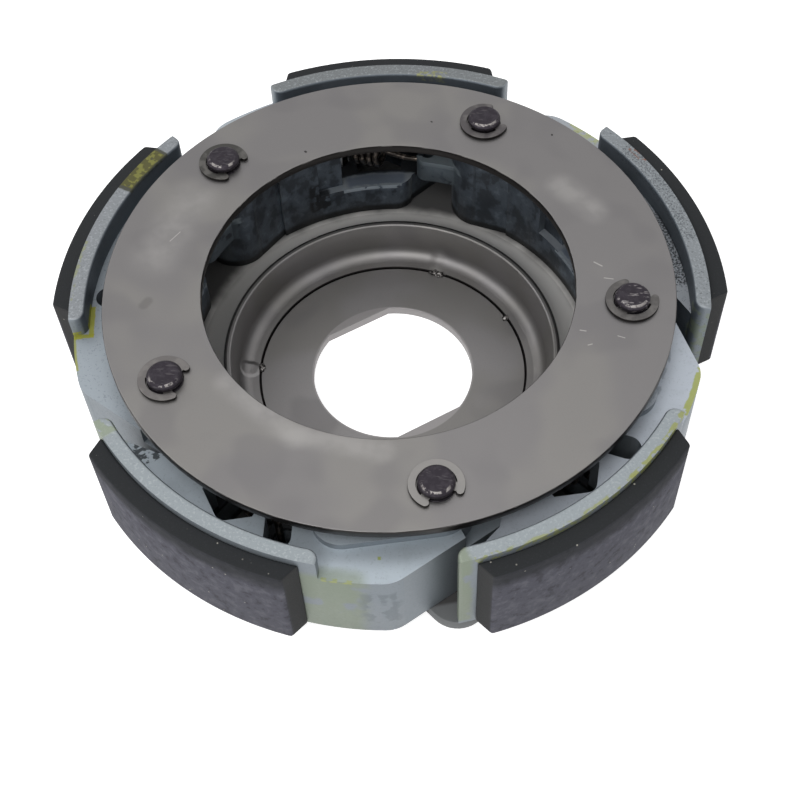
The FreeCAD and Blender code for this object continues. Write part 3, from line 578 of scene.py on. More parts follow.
@dataclass(frozen=True)
class DieCastAlloy:
    """Pressure die-cast aluminium.

    It looks cool grey and smooth, sandy on the rim, with tops painted paler than the sides as painted light,
    painted shade with oily streaks on the inner walls and a painted shadow at their foot.
    """

    centre: float
    rim: str
    smears: tuple[Smear, ...]
    pitting: float
    name: str
    # Tops are painted paler than the sides as painted light.
    top: str
    side: str = "#7d848a"
    # Walls that face the shaft and the recesses inside the shoe are painted dark as shade, with oily and
    # dusty streaks over it and a lighter tone on the rim's wall.
    inner_shade: str = "#4a525b"
    oily: str = "#22262c"
    # Colour of the painted shadow along the foot of the walls towards the shaft.
    foot_shadow: str = "#101214"
    dusty: str = "#6d7883"
    rim_wall: str = "#565d64"
    pit: str = "#3b4044"
    bright: str = "#d3d9dc"
    # The die's skin has grains of about 0.2 mm, which are drawn coarser so that they show.
    grain_size: float = 0.6
    grain_depth: float = 0.014
    swell_size: float = 3.0
    swell_depth: float = 0.05
    pit_size: float = 0.5
    stain_size: float = 7.0
    stain_strength: float = 0.18
    sand_strength: float = 0.2
    run_size: float = 4.2
    dust_strength: float = 0.8
    foot_shadow_strength: float = 0.95
    # Heights over which the painted shade of the recesses starts below the web's top and the painted shadow
    # at the foot ends above the foot, and depths over which the rim's top starts.
    recess_shade_top: Span = (27.8, 26.8)
    foot_shadow_rise: Span = (2.6, 1.2)
    rim_depth: Span = (1.2, 0.5)
    # Radii over which the inner walls end, the walls round the spring end and the rim's wall starts.
    inner_end: Span = (54.0, 58.0)
    spring_end: Span = (58.0, 62.0)
    rim_wall_start: Span = (61.0, 63.0)
    roughness: Span = (0.42, 0.58)
    metallic: float = 0.55

    def material(self) -> bpy.types.Material:
        """Build the material.

        Returns:
            The finished material.
        """
        surface = Surface(self.name, self.centre)
        pebble = surface.grain(self.grain_size, detail=2.0, roughness=0.6)
        clouds = surface.grain(self.stain_size, detail=3.0, roughness=0.55, shift=self.centre)
        up = surface.facing(Facing.UP)
        # Painted light: faces that face up take the paler top colour.
        colour = surface.coat(up, self.side, self.top)
        stained = surface.both(surface.between(clouds, 0.5, 0.72), self.stain_strength)
        colour = surface.coat(stained, colour, self.side)
        colour = self.rim_skin(surface, colour, up, pebble)
        colour = self.shade_and_oil(surface, colour)
        for mark in self.smears:
            colour = surface.coat(surface.smear(mark), colour, mark.colour)
        swell = surface.grain(self.swell_size, detail=1.0, shift=9.0)
        reliefs = [(pebble, self.grain_depth), (swell, self.swell_depth)]
        return surface.dress(colour, surface.grade(pebble, *self.roughness), self.metallic, reliefs)

    def rim_skin(self, surface: Surface, colour: Socket, up: Socket, pebble: Socket) -> Socket:
        """Sandy top of the rim, and pits on the flat tops.

        Args:
            surface: Material that gets it.
            colour: Colour so far.
            up: Mask of what faces up.
            pebble: Grain of the skin.

        Returns:
            Colour with the rim and the pits.
        """
        cap = surface.between(surface.height, *(RIM_TOP - depth for depth in self.rim_depth))
        on_rim = surface.both(cap, up)
        colour = surface.coat(on_rim, colour, self.rim)
        sand = surface.both(on_rim, surface.between(pebble, 0.5, 0.7))
        colour = surface.coat(surface.both(sand, self.sand_strength), colour, self.bright)
        pits = surface.grain(self.pit_size, detail=1.0, roughness=0.6, shift=5.0)
        outer = surface.between(surface.radius, *self.inner_end)
        pits = surface.both(surface.between(pits, 0.38, 0.31), outer)
        return surface.coat(surface.both(pits, self.pitting), colour, self.pit)

    def shade_and_oil(self, surface: Surface, colour: Socket) -> Socket:
        """Painted shade with oily streaks on the walls that face the shaft and in the recesses round the
        spring, and a painted shadow along the lower edge.

        Args:
            surface: Material that gets it.
            colour: Colour so far.

        Returns:
            Colour with the oil.
        """
        inward = surface.facing(Facing.IN)
        shift = self.centre * 0.7
        runs = surface.grain(self.run_size, detail=4.0, roughness=0.62, shift=shift, stretch=(1, 1, 1.3))
        film = surface.coat(surface.between(runs, 0.42, 0.56), self.oily, self.inner_shade)
        dust = surface.both(surface.between(runs, 0.58, 0.7), self.dust_strength)
        film = surface.coat(dust, film, self.dusty)
        film = surface.coat(surface.between(surface.radius, *self.rim_wall_start), film, self.rim_wall)
        # Painted shade on the walls that face the shaft.
        colour = surface.coat(inward, colour, film)
        # Painted shade in the recesses inside the shoe, below the web's top.
        below = surface.between(surface.height, *self.recess_shade_top)
        inside = surface.both(surface.between(surface.radius, *reversed(self.spring_end)), below)
        colour = surface.coat(surface.both(inside, surface.grade(runs, 0.1, 0.5)), colour, self.inner_shade)
        # Painted shadow where the shoe's foot meets the flange.
        low = surface.between(surface.height, *(SHOE_BOTTOM + rise for rise in self.foot_shadow_rise))
        foot_shadow = surface.both(low, surface.between(surface.radius, *reversed(self.inner_end)))
        return surface.coat(surface.both(foot_shadow, self.foot_shadow_strength), colour, self.foot_shadow)


@dataclass(frozen=True)
class MouldedFriction:
    """Moulded resin and fibre lining.

    It looks charcoal and matt, and is rubbed to a mottled purple grey with pale specks on its working face.
    """

    name: str = "moulded_friction"
    colour: str = "#252729"
    worn: str = "#54545d"
    rubbed: str = "#63636b"
    dark: str = "#3c3b41"
    end: str = "#3a3a3a"
    speck: str = "#a8a59c"
    dark_strength: float = 0.75
    fibre_strength: float = 0.35
    soot_strength: float = 0.1
    # Heights over which the worn face starts below its dark top band, and radii over which it starts.
    face_top: Span = (32.6, 28.1)
    face_radius: Span = (72.6, 73.2)
    porous_gloss: float = 0.25
    speck_size: float = 2.6
    # The fibres are about 0.2 mm wide, and are drawn coarser so that they show.
    grain_size: float = 0.5
    grain_depth: float = 0.06
    mottle_size: float = 2.4
    mottle_depth: float = 0.08
    drift_size: float = 9.0
    drift_reach: float = 4.0
    roughness: Span = (0.72, 0.9)

    def material(self) -> bpy.types.Material:
        """Build the material.

        Returns:
            The finished material.
        """
        surface = Surface(self.name)
        fibre = surface.grain(self.grain_size, detail=4.0, roughness=0.7)
        mottle = surface.grain(self.mottle_size, detail=4.0, roughness=0.65)
        drift = surface.grain(self.drift_size, detail=2.0, roughness=0.5, shift=12.0)
        outward = surface.facing(Facing.OUT)
        face = surface.both(outward, surface.between(surface.radius, *self.face_radius))
        edge = surface.wavy(surface.height, drift, self.drift_reach)
        low = surface.between(edge, *self.face_top)
        skin = surface.coat(surface.between(mottle, 0.5, 0.66), self.worn, self.rubbed)
        hollow = surface.both(surface.between(mottle, 0.47, 0.34), self.dark_strength)
        skin = surface.coat(hollow, skin, self.dark)
        base = surface.coat(surface.facing(Facing.UP), self.end, self.colour)
        sooty = surface.either(outward, surface.both(fibre, self.soot_strength))
        base = surface.coat(sooty, base, self.colour)
        fibrous = surface.both(surface.between(fibre, 0.5, 0.75), self.fibre_strength)
        base = surface.coat(fibrous, base, self.dark)
        colour = surface.coat(surface.both(face, surface.grade(low, 0.18, 1.0)), base, skin)
        specks = surface.both(surface.spots(self.speck_size, 0.09), surface.between(drift, 0.47, 0.56))
        colour = surface.coat(specks, colour, self.speck)
        surface.shader.inputs["Specular IOR Level"].default_value = self.porous_gloss
        reliefs = [(fibre, self.grain_depth), (mottle, self.mottle_depth)]
        return surface.dress(colour, surface.grade(fibre, *self.roughness), 0.0, reliefs)


@dataclass(frozen=True)
class HardenedPinSteel:
    """Turned and hardened pin.

    It looks dark violet grey and half matt, with faint turning marks and a painted highlight, broken up like
    wear, on the front of the head's chamfer.
    """

    centre: tuple[float, float]
    order: int
    lined: float
    colour: str = "#353137"
    scuff: str = "#4a464c"
    streak: str = "#8f8b8c"
    # Colour of the painted highlight on the chamfer.
    bright: str = "#c2bdb9"
    scuff_strength: float = 0.5
    highlight_strength: float = 0.5
    # Where the painted highlight on the chamfer is: radii, heights above the ring plate, and distances to its
    # lit side.
    chamfer_radius: Span = (3.0, 3.3)
    chamfer_fade: float = 0.18
    chamfer_rise: Span = (1.5, 1.8)
    lit_side: Span = (0.6, 2.2)
    scuff_size: float = 1.3
    scuff_depth: float = 0.008
    streak_size: float = 0.5
    roughness: Span = (0.5, 0.64)
    metallic: float = 0.9

    def material(self) -> bpy.types.Material:
        """Build the material.

        Returns:
            The finished material.
        """
        surface = Surface(f"hardened_pin_steel_{self.order}")
        scuffs = surface.grain(self.scuff_size, detail=3.0, roughness=0.6, shift=self.order * 7.0)
        shift = self.order * 3.0
        streaks = surface.grain(self.streak_size, detail=2.0, roughness=0.6, shift=shift, stretch=(5, 1, 1))
        scuffed = surface.both(surface.between(scuffs, 0.4, 0.7), self.scuff_strength)
        colour = surface.coat(scuffed, self.colour, self.scuff)
        drawn = surface.both(surface.between(streaks, 0.58, 0.66), self.lined)
        colour = surface.coat(drawn, colour, self.streak)
        # Painted highlight on the front of the chamfer, broken up like wear.
        worn = surface.both(self.lit_chamfer(surface), surface.between(scuffs, 0.47, 0.57))
        colour = surface.coat(surface.both(worn, self.highlight_strength), colour, self.bright)
        roughness = surface.grade(scuffs, *self.roughness)
        return surface.dress(colour, roughness, self.metallic, [(scuffs, self.scuff_depth)])

    def lit_chamfer(self, surface: Surface) -> Socket:
        """Mask of the front side of the head's chamfer, which gets the painted highlight.

        Args:
            surface: Material that gets it.

        Returns:
            Socket with the mask.
        """
        level = surface.add("VectorMath", {"operation": "MULTIPLY"}, {0: surface.place, 1: LEVEL})
        axis = (*self.centre, 0)
        away = surface.add("VectorMath", {"operation": "DISTANCE"}, {0: level, 1: axis}, "Value")
        ring = surface.window(away, *self.chamfer_radius, self.chamfer_fade)
        top = surface.between(surface.height, *(RING_TOP + rise for rise in self.chamfer_rise))
        depth = surface.add("SeparateXYZ", {}, {0: surface.place}, "Y")
        front = surface.between(depth, *(self.centre[1] - side for side in self.lit_side))
        return surface.both(surface.both(ring, top), front)


@dataclass(frozen=True)
class BlankedSpringSteel:
    """Blanked and tempered clip.

    It looks satin grey, darker where it has kept its tempering colour, with its side walls painted dark as
    shade.
    """

    name: str
    colour: str
    pale: str = "#8f8c89"
    pale_strength: float = 0.25
    # Colour of the side walls, painted dark as shade.
    edge: str = "#2b2928"
    cloud_size: float = 2.5
    cloud_depth: float = 0.01
    roughness: Span = (0.36, 0.48)
    metallic: float = 0.9

    def material(self) -> bpy.types.Material:
        """Build the material.

        Returns:
            The finished material.
        """
        surface = Surface(self.name)
        clouds = surface.grain(self.cloud_size, detail=2.0)
        cleaned = surface.both(surface.between(clouds, 0.45, 0.65), self.pale_strength)
        colour = surface.coat(cleaned, self.colour, self.pale)
        # Painted shade: faces that do not face up take the dark side colour.
        colour = surface.coat(surface.facing(Facing.UP), self.edge, colour)
        roughness = surface.grade(clouds, *self.roughness)
        return surface.dress(colour, roughness, self.metallic, [(clouds, self.cloud_depth)])


@dataclass(frozen=True)
class DrawnSpringWire:
    """Hard-drawn wire with an oil film.

    It looks brownish dark grey, with paler patches that are painted highlights.
    """

    name: str = "drawn_spring_wire"
    colour: str = "#3b3734"
    # Colour of the paler patches, painted as highlights.
    pale: str = "#7d736a"
    film_size: float = 1.2
    film_depth: float = 0.02
    roughness: Span = (0.3, 0.45)
    metallic: float = 0.9

    def material(self) -> bpy.types.Material:
        """Build the material.

        Returns:
            The finished material.
        """
        surface = Surface(self.name)
        film = surface.grain(self.film_size, detail=3.0)
        # Painted highlights: the paler patches.
        colour = surface.coat(surface.between(film, 0.45, 0.65), self.colour, self.pale)
        roughness = surface.grade(film, *self.roughness)
        return surface.dress(colour, roughness, self.metallic, [(film, self.film_depth)])


@dataclass(frozen=True)
class TornSteel:
    """Steel that a stake has torn up.

    It looks bright and crumpled, with painted shade in the hollows of its crumples.
    """

    name: str = "torn_steel"
    colour: str = "#8e8b89"
    # Colour of the hollows, painted dark as shade.
    dark: str = "#2a2827"
    crumple_size: float = 0.5
    crumple_depth: float = 0.1
    roughness: Span = (0.3, 0.5)
    metallic: float = 0.9

    def material(self) -> bpy.types.Material:
        """Build the material.

        Returns:
            The finished material.
        """
        surface = Surface(self.name)
        crumple = surface.grain(self.crumple_size, detail=3.0)
        # Painted shade: the low parts of the crumple pattern, which are also its hollows, are dark.
        colour = surface.coat(surface.between(crumple, 0.42, 0.58), self.dark, self.colour)
        roughness = surface.grade(crumple, *self.roughness)
        return surface.dress(colour, roughness, self.metallic, [(crumple, self.crumple_depth)])


@dataclass(frozen=True)
class RoundedEdges:
    """Small rounded edges of a blanked, turned or cast piece, on its frame mesh."""

    width: float
    weld_gap: float = 0.002
    flat_angle: float = 0.5
    least_angle: float = 30.0
    segments: int = 2

    def apply_to(self, piece: bpy.types.Object) -> None:
        """Add the modifiers that weld the mesh, merge its flat faces and round its edges.

        Args:
            piece: Object of the frame.
        """
        weld = piece.modifiers.new("weld", "WELD")
        weld.merge_threshold = self.weld_gap * MM
        flat = piece.modifiers.new("flat", "DECIMATE")
        flat.decimate_type = "DISSOLVE"
        flat.angle_limit = math.radians(self.flat_angle)
        bevel = piece.modifiers.new("edges", "BEVEL")
        bevel.width = self.width * MM
        bevel.segments = self.segments
        bevel.limit_method = "ANGLE"
        bevel.angle_limit = math.radians(self.least_angle)
        bevel.harden_normals = True


def add_piece(name: str, shape: bmesh.types.BMesh, material: bpy.types.Material) -> bpy.types.Object:
    """Turn a mesh into a smooth piece.

    Args:
        name: Name of the piece.
        shape: Mesh in metres, in the row frame.
        material: Its finish.

    Returns:
        The new object.
    """
    mesh = bpy.data.meshes.new(name)
    shape.to_mesh(mesh)
    shape.free()
    mesh.shade_smooth()
    mesh.materials.append(material)
    piece = bpy.data.objects.new(name, mesh)
    bpy.context.scene.collection.objects.link(piece)
    log.info("made %s", name)
    return piece


def dress(name: str, material: bpy.types.Material, edge: float) -> None:
    """Give a node of the frame its material and its rounded edges.

    Args:
        name: Name of the node.
        material: Its finish.
        edge: Width of its rounded edges in millimetres.
    """
    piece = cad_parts[name]
    piece.data.materials.clear()
    piece.data.materials.append(material)
    RoundedEdges(edge).apply_to(piece)
    log.info("dressed %s", name)


@dataclass
class Plates:
    """Drive plate, hub plate and ring plate."""

    edge: float = 0.15

    def build(self) -> None:
        """Dress the plates."""
        dish_steel = PressedDishSteel().material()
        dress("drive_plate", dish_steel, self.edge)
        dress("hub_plate", dish_steel, self.edge)
        dress("side_plate", TumbledSheetSteel().material(), self.edge)


@dataclass
class StakeBurrs:
    """Torn-up metal where a tool has staked the hub plate into the drive plate."""

    joint_radius: float = 31.1
    floor: float = 2.6
    sunk: float = 0.25
    angles: tuple[float, ...] = (76.9, 36.2, 184.6)
    lengths: tuple[float, ...] = (3.8, 1.2, 2.2)
    reach: float = 0.85
    rise: float = 0.45
    crumple_depth: float = 0.75
    crumple_scale: float = 2.3

    def build(self) -> None:
        """Add a burr at each stake."""
        steel = TornSteel().material()
        for order, (angle, length) in enumerate(zip(self.angles, self.lengths), start=1):
            piece = add_piece(f"stake_burr_{order}", self.burr(angle, length, order), steel)
            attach(piece, "carrier")

    def burr(self, angle: float, length: float, order: int) -> bmesh.types.BMesh:
        """Crumpled ridge along the joint.

        Args:
            angle: Direction of its middle from the shaft, in degrees.
            length: Its length in millimetres.
            order: Number that makes each burr differ.

        Returns:
            The burr's mesh in metres.
        """
        shape = bmesh.new()
        bmesh.ops.create_icosphere(shape, subdivisions=3, radius=1.0)
        turn = Matrix.Rotation(math.radians(angle), 4, "Z")
        own_pattern = Vector((order * 5.0, 0, 0))
        for point in shape.verts:
            crumple = 1 + self.crumple_depth * noise.noise(point.co * self.crumple_scale + own_pattern)
            ridge = (point.co.x * self.reach, point.co.y * length / 2, abs(point.co.z) * self.rise)
            local = Vector(ridge) * crumple
            local.x += self.joint_radius
            local.z += self.floor - self.sunk
            point.co = (turn @ local) * MM
        return shape


@dataclass
class Pins:
    """Pivot pins and their retaining clips."""

    edge: float = 0.12
    # The first pin's head has strong turning marks, and the others only faint ones.
    lined: tuple[float, ...] = (0.8, 0.15, 0.15, 0.15, 0.15)
    clip_colours: tuple[str, ...] = ("#595756", "#575455", "#484745", "#6a6766", "#858381")

    def build(self) -> None:
        """Dress the pins and the clips."""
        for order, (lined, clip_colour) in enumerate(zip(self.lined, self.clip_colours), start=1):
            centre = polar(PIVOT_RADIUS, PITCH * (order - 1), 0)[:2]
            dress(f"pivot_pin_{order}", HardenedPinSteel(centre, order, lined).material(), self.edge)
            clip_steel = BlankedSpringSteel(f"blanked_spring_steel_{order}", clip_colour).material()
            dress(f"e_clip_{order}", clip_steel, self.edge)


PAINT = "#8f9450"
FRESH_PAINT = "#9c9c34"
FAINT_PAINT = "#7d8768"
OLIVE = "#55532c"

# Painted shadow in black on the tail's ledge under the spring, and painted highlights along the edges of the
# ledge and the tongue and on the tongue's face, on every shoe.
INNER_PAINTED_LIGHT = (
    Smear("#101115", (50.9, 62.0), (-9, 17), (15.6, 17.2), 0.95, 1.0, 2.5, 0.8),
    Smear("#667080", (47.6, 49.4), (-3, 12), (15.6, 16.8), 0.8, 0.85, 3.0, 2.0),
    Smear("#939ca4", (45.9, 46.8), (-3, 14.5), (15.3, 16.6), 0.85, 0.65, 1.5),
    Smear("#8a959b", (46.0, 50.0), (50, 66), (22.9, 24.2), 0.85, 0.85, 2.0, 0.6),
    Smear("#5d676e", (46.0, 52.0), (52, 66), (18.0, 23.0), 0.7, 0.7, 3.0, 1.0),
)
# Paint along the rim's outer edge, down its free end and along the web's edge by the pin, and a grey
# rub on the web.
LOWER_RIGHT_SMEARS = (
    Smear(PAINT, (69.0, 69.7), (-22, 9), ON_RIM, 0.65, 0.5, 1.6),
    Smear(PAINT, (68.7, 69.7), (8, 24), ON_RIM, 0.8, 0.65, 1.8),
    Smear("#9aa14a", (68.3, 69.8), (27, 37.5), ON_WEB, 0.85, 0.8, 2.0),
    Smear(FAINT_PAINT, (65.8, 69.9), (-26, -23), (9, 34), 0.6, 0.8, 5.0, 1.0),
    Smear("#6e777e", (58, 62), (26, 40), (27.6, 31), 0.5, 0.5, 4.0),
)
# A trace of paint by the pin and down the rim's free end, a rust spot, black specks on the web and a
# gritty rim.
UPPER_RIGHT_SMEARS = (
    Smear("#a7ae5e", (68.0, 69.8), (26, 32.5), ON_WEB, 0.55, 0.6, 2.0, 0.8),
    Smear("#7b4a33", (68.2, 69.6), (13, 17), ON_RIM, 0.8, 0.4, 0.9),
    Smear("#1d2024", (57, 66), (-15, 4), ON_WEB, 0.85, 0.5, 0.45),
    Smear("#3a4046", (66, 69.6), (-8, 18), ON_RIM, 0.6, 0.38, 0.4),
    Smear(FAINT_PAINT, (66, 69.6), (-25, -21), (10, 32), 0.5, 0.5, 3.0),
)
# A faint paint line on the rim, and a black patch low on the wall towards the shaft.
TOP_SMEARS = (
    Smear("#8f8f4c", (66.2, 67.6), (-12, -6), ON_RIM, 0.6, 0.5, 1.2),
    Smear("#14161a", (45.5, 47.5), (19.5, 25.0), (12.0, 20.0), 0.9, 0.62, 2.6, 1.2),
)
# A dark olive patch on the rim, bright paint round the foot of its end, and paint on the outer edges.
LEFT_SMEARS = (
    Smear("#33331f", (66.2, 69.9), (-20.0, -8.2), (33.4, 35), 0.85, 1.0, 1.5, 0.4),
    Smear(OLIVE, (66.5, 69.3), (-19.4, -8.9), ON_RIM, 0.9, 0.95, 1.2),
    Smear("#7f7f40", (66.6, 69.2), (-19.2, -9.2), ON_RIM, 0.75, 0.42, 1.4),
    Smear(FRESH_PAINT, (65.1, 66.0), (18, 25), (27.6, 29.5), 0.9, 0.95, 1.2, 0.2),
    Smear(FRESH_PAINT, (65.1, 70), (24.6, 25.3), (27.6, 29.5), 0.9, 0.95, 1.2, 0.2),
    Smear("#92953a", (69.0, 69.9), (25, 33), (20, 29), 0.8, 0.8, 2.0),
    Smear(PAINT, (68.9, 69.6), (6, 20), ON_RIM, 0.45, 0.5, 2.0),
)
# Faint paint down the outer wall and over the rim's free end, a dot of it on the web, black grime by
# the free end, and a painted shadow on the outer wall by the pin.
LOWER_LEFT_SMEARS = (
    Smear(FAINT_PAINT, (68.5, 70), (22, 30.5), (8, 28), 0.55, 0.75, 7.0, 3.0),
    Smear("#9a9f4e", (69.0, 69.8), (25.3, 30), (27.7, 28.6), 0.55, 0.5, 1.6),
    Smear("#23282b", (58, 65.5), (-26, -14), ON_WEB, 0.85, 0.5, 1.0),
    Smear("#87926c", (65, 69.8), (-25.5, -21), (28, 35), 0.5, 0.6, 2.0, 0.8),
    Smear("#9ba73a", (63.5, 64.0), (34.2, 34.6), ON_WEB, 0.8, 1.0, 1.0, 0.2),
    # Painted shadow on the outer wall by the pin.
    Smear("#596167", (68.0, 70), (32, 37), (12, 23), 0.45, 0.5, 3.0, 1.5),
)


@dataclass
class Shoes:
    """Cast shoes with their linings."""

    shoe_edge: float = 0.5
    lining_edge: float = 0.6
    rims: tuple[str, ...] = ("#92999d", "#82878b", "#74787a", "#84888c", "#90979b")
    # Top colours of the shoes, painted paler than their sides as painted light.
    lit_tops: tuple[str, ...] = ("#b3bac3", "#a2a7ad", "#a7aeb4", "#9aa2a9", "#afb9c1")
    pitting: tuple[float, ...] = (0.12, 0.55, 0.25, 0.25, 0.12)
    smears: tuple[tuple[Smear, ...], ...] = (
        LOWER_RIGHT_SMEARS,
        UPPER_RIGHT_SMEARS,
        TOP_SMEARS,
        LEFT_SMEARS,
        LOWER_LEFT_SMEARS,
    )

    def build(self) -> None:
        """Dress the shoes and the linings."""
        friction = MouldedFriction().material()
        for order in range(1, SHOE_COUNT + 1):
            own = order - 1
            alloy = DieCastAlloy(
                centre=shoe_angle(order),
                rim=self.rims[own],
                smears=INNER_PAINTED_LIGHT + self.smears[own],
                pitting=self.pitting[own],
                name=f"die_cast_alloy_{order}",
                top=self.lit_tops[own],
            )
            dress(f"shoe_{order}", alloy.material(), self.shoe_edge)
            dress(f"lining_{order}", friction, self.lining_edge)


@dataclass
class Springs:
    """Return springs of round wire, each from the next tongue's hole to the slot in its own shoe's tail.

    A tongue's end has a hole with a groove to its edge. The hook lies in the groove, a little towards
    the shaft and along its slope, and is thinner than the coil, so that it clears the tongue as it swings.
    """

    anchor_radius: float = 50.3
    anchor_angle: float = -10.4
    anchor_play: float = 0.4
    anchor_shift: float = 0.355
    groove_end: float = 4.8
    groove_slope: float = 0.077
    slot_radius: float = 57.0
    slot_angle: float = 13.6
    slot_play: float = 1.9
    axis_height: float = 21.7
    wire_radius: float = 0.8
    hook_radius: float = 0.65
    coil_radius: float = 3.25
    coil_turns: int = 4
    coil_pitch: float = 1.7
    hook_reach: float = 3.5
    hook_bend: float = 1.6
    tongue_hook_drop: float = 4.2
    tail_hook_drop: float = 9.0
    wire_sides: int = 14
    coil_steps: int = 32
    bend_steps: int = 6

    def build(self) -> None:
        """Replace each spring with one of round wire."""
        wire = DrawnSpringWire().material()
        for order in range(1, SHOE_COUNT + 1):
            anchor, run, reach = self.line(order)
            piece = add_piece(f"spring_wire_{order}", self.spring(anchor, run, reach), wire)
            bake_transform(piece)
            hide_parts(f"return_spring_{order}")

    def line(self, order: int) -> tuple[Vector, Vector, float]:
        """Where a spring lies.

        Args:
            order: Number of the shoe that it pulls in.

        Returns:
            Its start in millimetres, its direction, and the distance between its hooks.
        """
        centre = shoe_angle(order)
        anchor = Vector(polar(self.anchor_radius, centre + self.anchor_angle, self.axis_height))
        slot = Vector(polar(self.slot_radius, centre + self.slot_angle, self.axis_height))
        run = (slot - anchor).normalized()
        reach = (slot - anchor).length - self.anchor_play - self.slot_play
        return anchor + run * self.anchor_play, run, reach

    def coil_start(self, reach: float) -> float:
        """Distance from the start to the coil in millimetres."""
        return reach - self.hook_reach - self.coil_turns * self.coil_pitch

    def spring(self, start: Vector, run: Vector, reach: float) -> bmesh.types.BMesh:
        """Mesh of one spring in the row frame.

        Args:
            start: Its start in millimetres.
            run: Its direction.
            reach: Distance between its hooks in millimetres.

        Returns:
            The spring's mesh in metres.
        """
        axes = Matrix((run, Vector((0, 0, 1)).cross(run), Vector((0, 0, 1)))).transposed()
        hook, rest = self.tongue_hook(), self.coil_and_tail_hook(reach)
        points = [(start + axes @ point) * MM for point in hook + rest]
        radii = [self.hook_radius * MM] * len(hook) + [self.wire_radius * MM] * len(rest)
        return self.sweep(points, radii)

    def tongue_hook(self) -> list[Vector]:
        """Middle line of the hook in the tongue, along the spring's axis (X) and height (Z).

        Returns:
            Points in millimetres, which slant sideways with the tongue's groove.
        """
        points = [Vector((0, 0, -self.tongue_hook_drop))]
        points += self.bend((0, -self.hook_bend), (0, 1), (1, 0))
        points.append(Vector((self.groove_end, 0, 0)))
        for point in points:
            point.y = self.anchor_shift + self.groove_slope * point.x
        return points

    def coil_and_tail_hook(self, reach: float) -> list[Vector]:
        """Middle line of the coil and of the hook in the tail.

        Args:
            reach: Distance between the hooks' upright ends in millimetres.

        Returns:
            Points in millimetres, along the spring's axis (X) and height (Z).
        """
        coil_start = self.coil_start(reach)
        points = self.bend((coil_start - self.hook_bend, 0), (1, 0), (0, 1))
        for step in range(self.coil_turns * self.coil_steps + 1):
            turn = math.tau * step / self.coil_steps
            along = coil_start + self.coil_pitch * step / self.coil_steps
            across = -math.sin(turn) * self.coil_radius
            points.append(Vector((along, across, math.cos(turn) * self.coil_radius)))
        coil_end = reach - self.hook_reach
        points += self.bend((coil_end, self.hook_bend), (0, -1), (1, 0))
        points += self.bend((reach - self.hook_bend, 0), (1, 0), (0, -1))
        points.append(Vector((reach, 0, -self.tail_hook_drop)))
        return points

    def bend(
        self, start: tuple[float, float], inward: tuple[float, float], outward: tuple[float, float]
    ) -> list[Vector]:
        """Quarter turn of the wire in the plane of X and Z.

        Args:
            start: Where the turn starts.
            inward: Direction of the wire before it.
            outward: Direction of the wire after it.

        Returns:
            Points along the turn.
        """
        points = []
        for step in range(self.bend_steps + 1):
            turn = math.pi / 2 * step / self.bend_steps
            ahead, aside = math.sin(turn), 1 - math.cos(turn)
            x, z = (
                start[axis] + self.hook_bend * (inward[axis] * ahead + outward[axis] * aside)
                for axis in range(2)
            )
            points.append(Vector((x, 0, z)))
        return points

    def sweep(self, points: list[Vector], radii: list[float]) -> bmesh.types.BMesh:
        """Round wire along a line of points.

        Args:
            points: Middle line in metres.
            radii: Radius of the wire at each point in metres.

        Returns:
            The wire's mesh, closed at both ends.
        """
        shape = bmesh.new()
        side = Vector((1, 0, 0))
        rings = []
        for index, (point, radius) in enumerate(zip(points, radii)):
            ahead = (points[min(index + 1, len(points) - 1)] - points[max(index - 1, 0)]).normalized()
            side = (side - ahead * side.dot(ahead)).normalized()
            other = ahead.cross(side)
            ring = []
            for corner in range(self.wire_sides):
                turn = math.tau * corner / self.wire_sides
                spoke = (side * math.cos(turn) + other * math.sin(turn)) * radius
                ring.append(shape.verts.new(point + spoke))
            rings.append(ring)
        for first, second in zip(rings, rings[1:]):
            for corner in range(self.wire_sides):
                following = (corner + 1) % self.wire_sides
                shape.faces.new((first[corner], first[following], second[following], second[corner]))
        shape.faces.new(list(reversed(rings[0])))
        shape.faces.new(rings[-1])
        return shape


@dataclass
class Viewpoint:
    """Camera at the photograph's angle, worked out from the ring plate's edges and the pin heads.

    Its place is counted from the middle of the ring plate's top, in radii of that plate.
    """

    lens: float = 63.31
    sensor: float = 36.0
    nearest: float = 0.01
    furthest: float = 10.0
    ring_radius: float = 62.0
    back: float = 3.12451
    up: float = 3.81815
    yaw: float = 0.397
    pitch: float = 55.543
    roll: float = -2.808
    frame_turn: float = 10.0

    def build(self) -> None:
        """Add the camera and make it the scene's."""
        yaw = math.radians(self.yaw)
        pitch = math.radians(self.pitch)
        roll = math.radians(self.roll)
        forward = Vector((math.sin(yaw) * math.cos(pitch), math.cos(yaw) * math.cos(pitch), -math.sin(pitch)))
        level = Vector((math.cos(yaw), -math.sin(yaw), 0.0))
        upward = level.cross(forward)
        right = math.cos(roll) * level + math.sin(roll) * upward
        top = -math.sin(roll) * level + math.cos(roll) * upward
        facing = Matrix((right, top, -forward)).transposed().to_4x4()
        place = Matrix.Translation(Vector((0.0, -self.back, self.up)) * self.ring_radius * MM)
        turn = Matrix.Rotation(math.radians(self.frame_turn), 4, "Z")
        data = bpy.data.cameras.new("viewpoint")
        data.lens = self.lens
        data.sensor_width = self.sensor
        data.clip_start = self.nearest
        data.clip_end = self.furthest
        camera = bpy.data.objects.new("viewpoint", data)
        bpy.context.scene.collection.objects.link(camera)
        camera.matrix_world = Matrix.Translation((0, 0, RING_TOP * MM)) @ turn @ place @ facing
        bpy.context.scene.camera = camera


@dataclass(frozen=True)
class Softbox:
    """A square lamp that faces the clutch, with its place and side in metres and its power in watts."""

    name: str
    place: Place
    side: float
    power: float

    def build(self) -> None:
        """Add the lamp."""
        data = bpy.data.lights.new(self.name, "AREA")
        data.size = self.side
        data.energy = self.power
        lamp = bpy.data.objects.new(self.name, data)
        lamp.location = self.place
        lamp.rotation_euler = (-Vector(self.place)).to_track_quat("-Z", "Y").to_euler()
        bpy.context.scene.collection.objects.link(lamp)


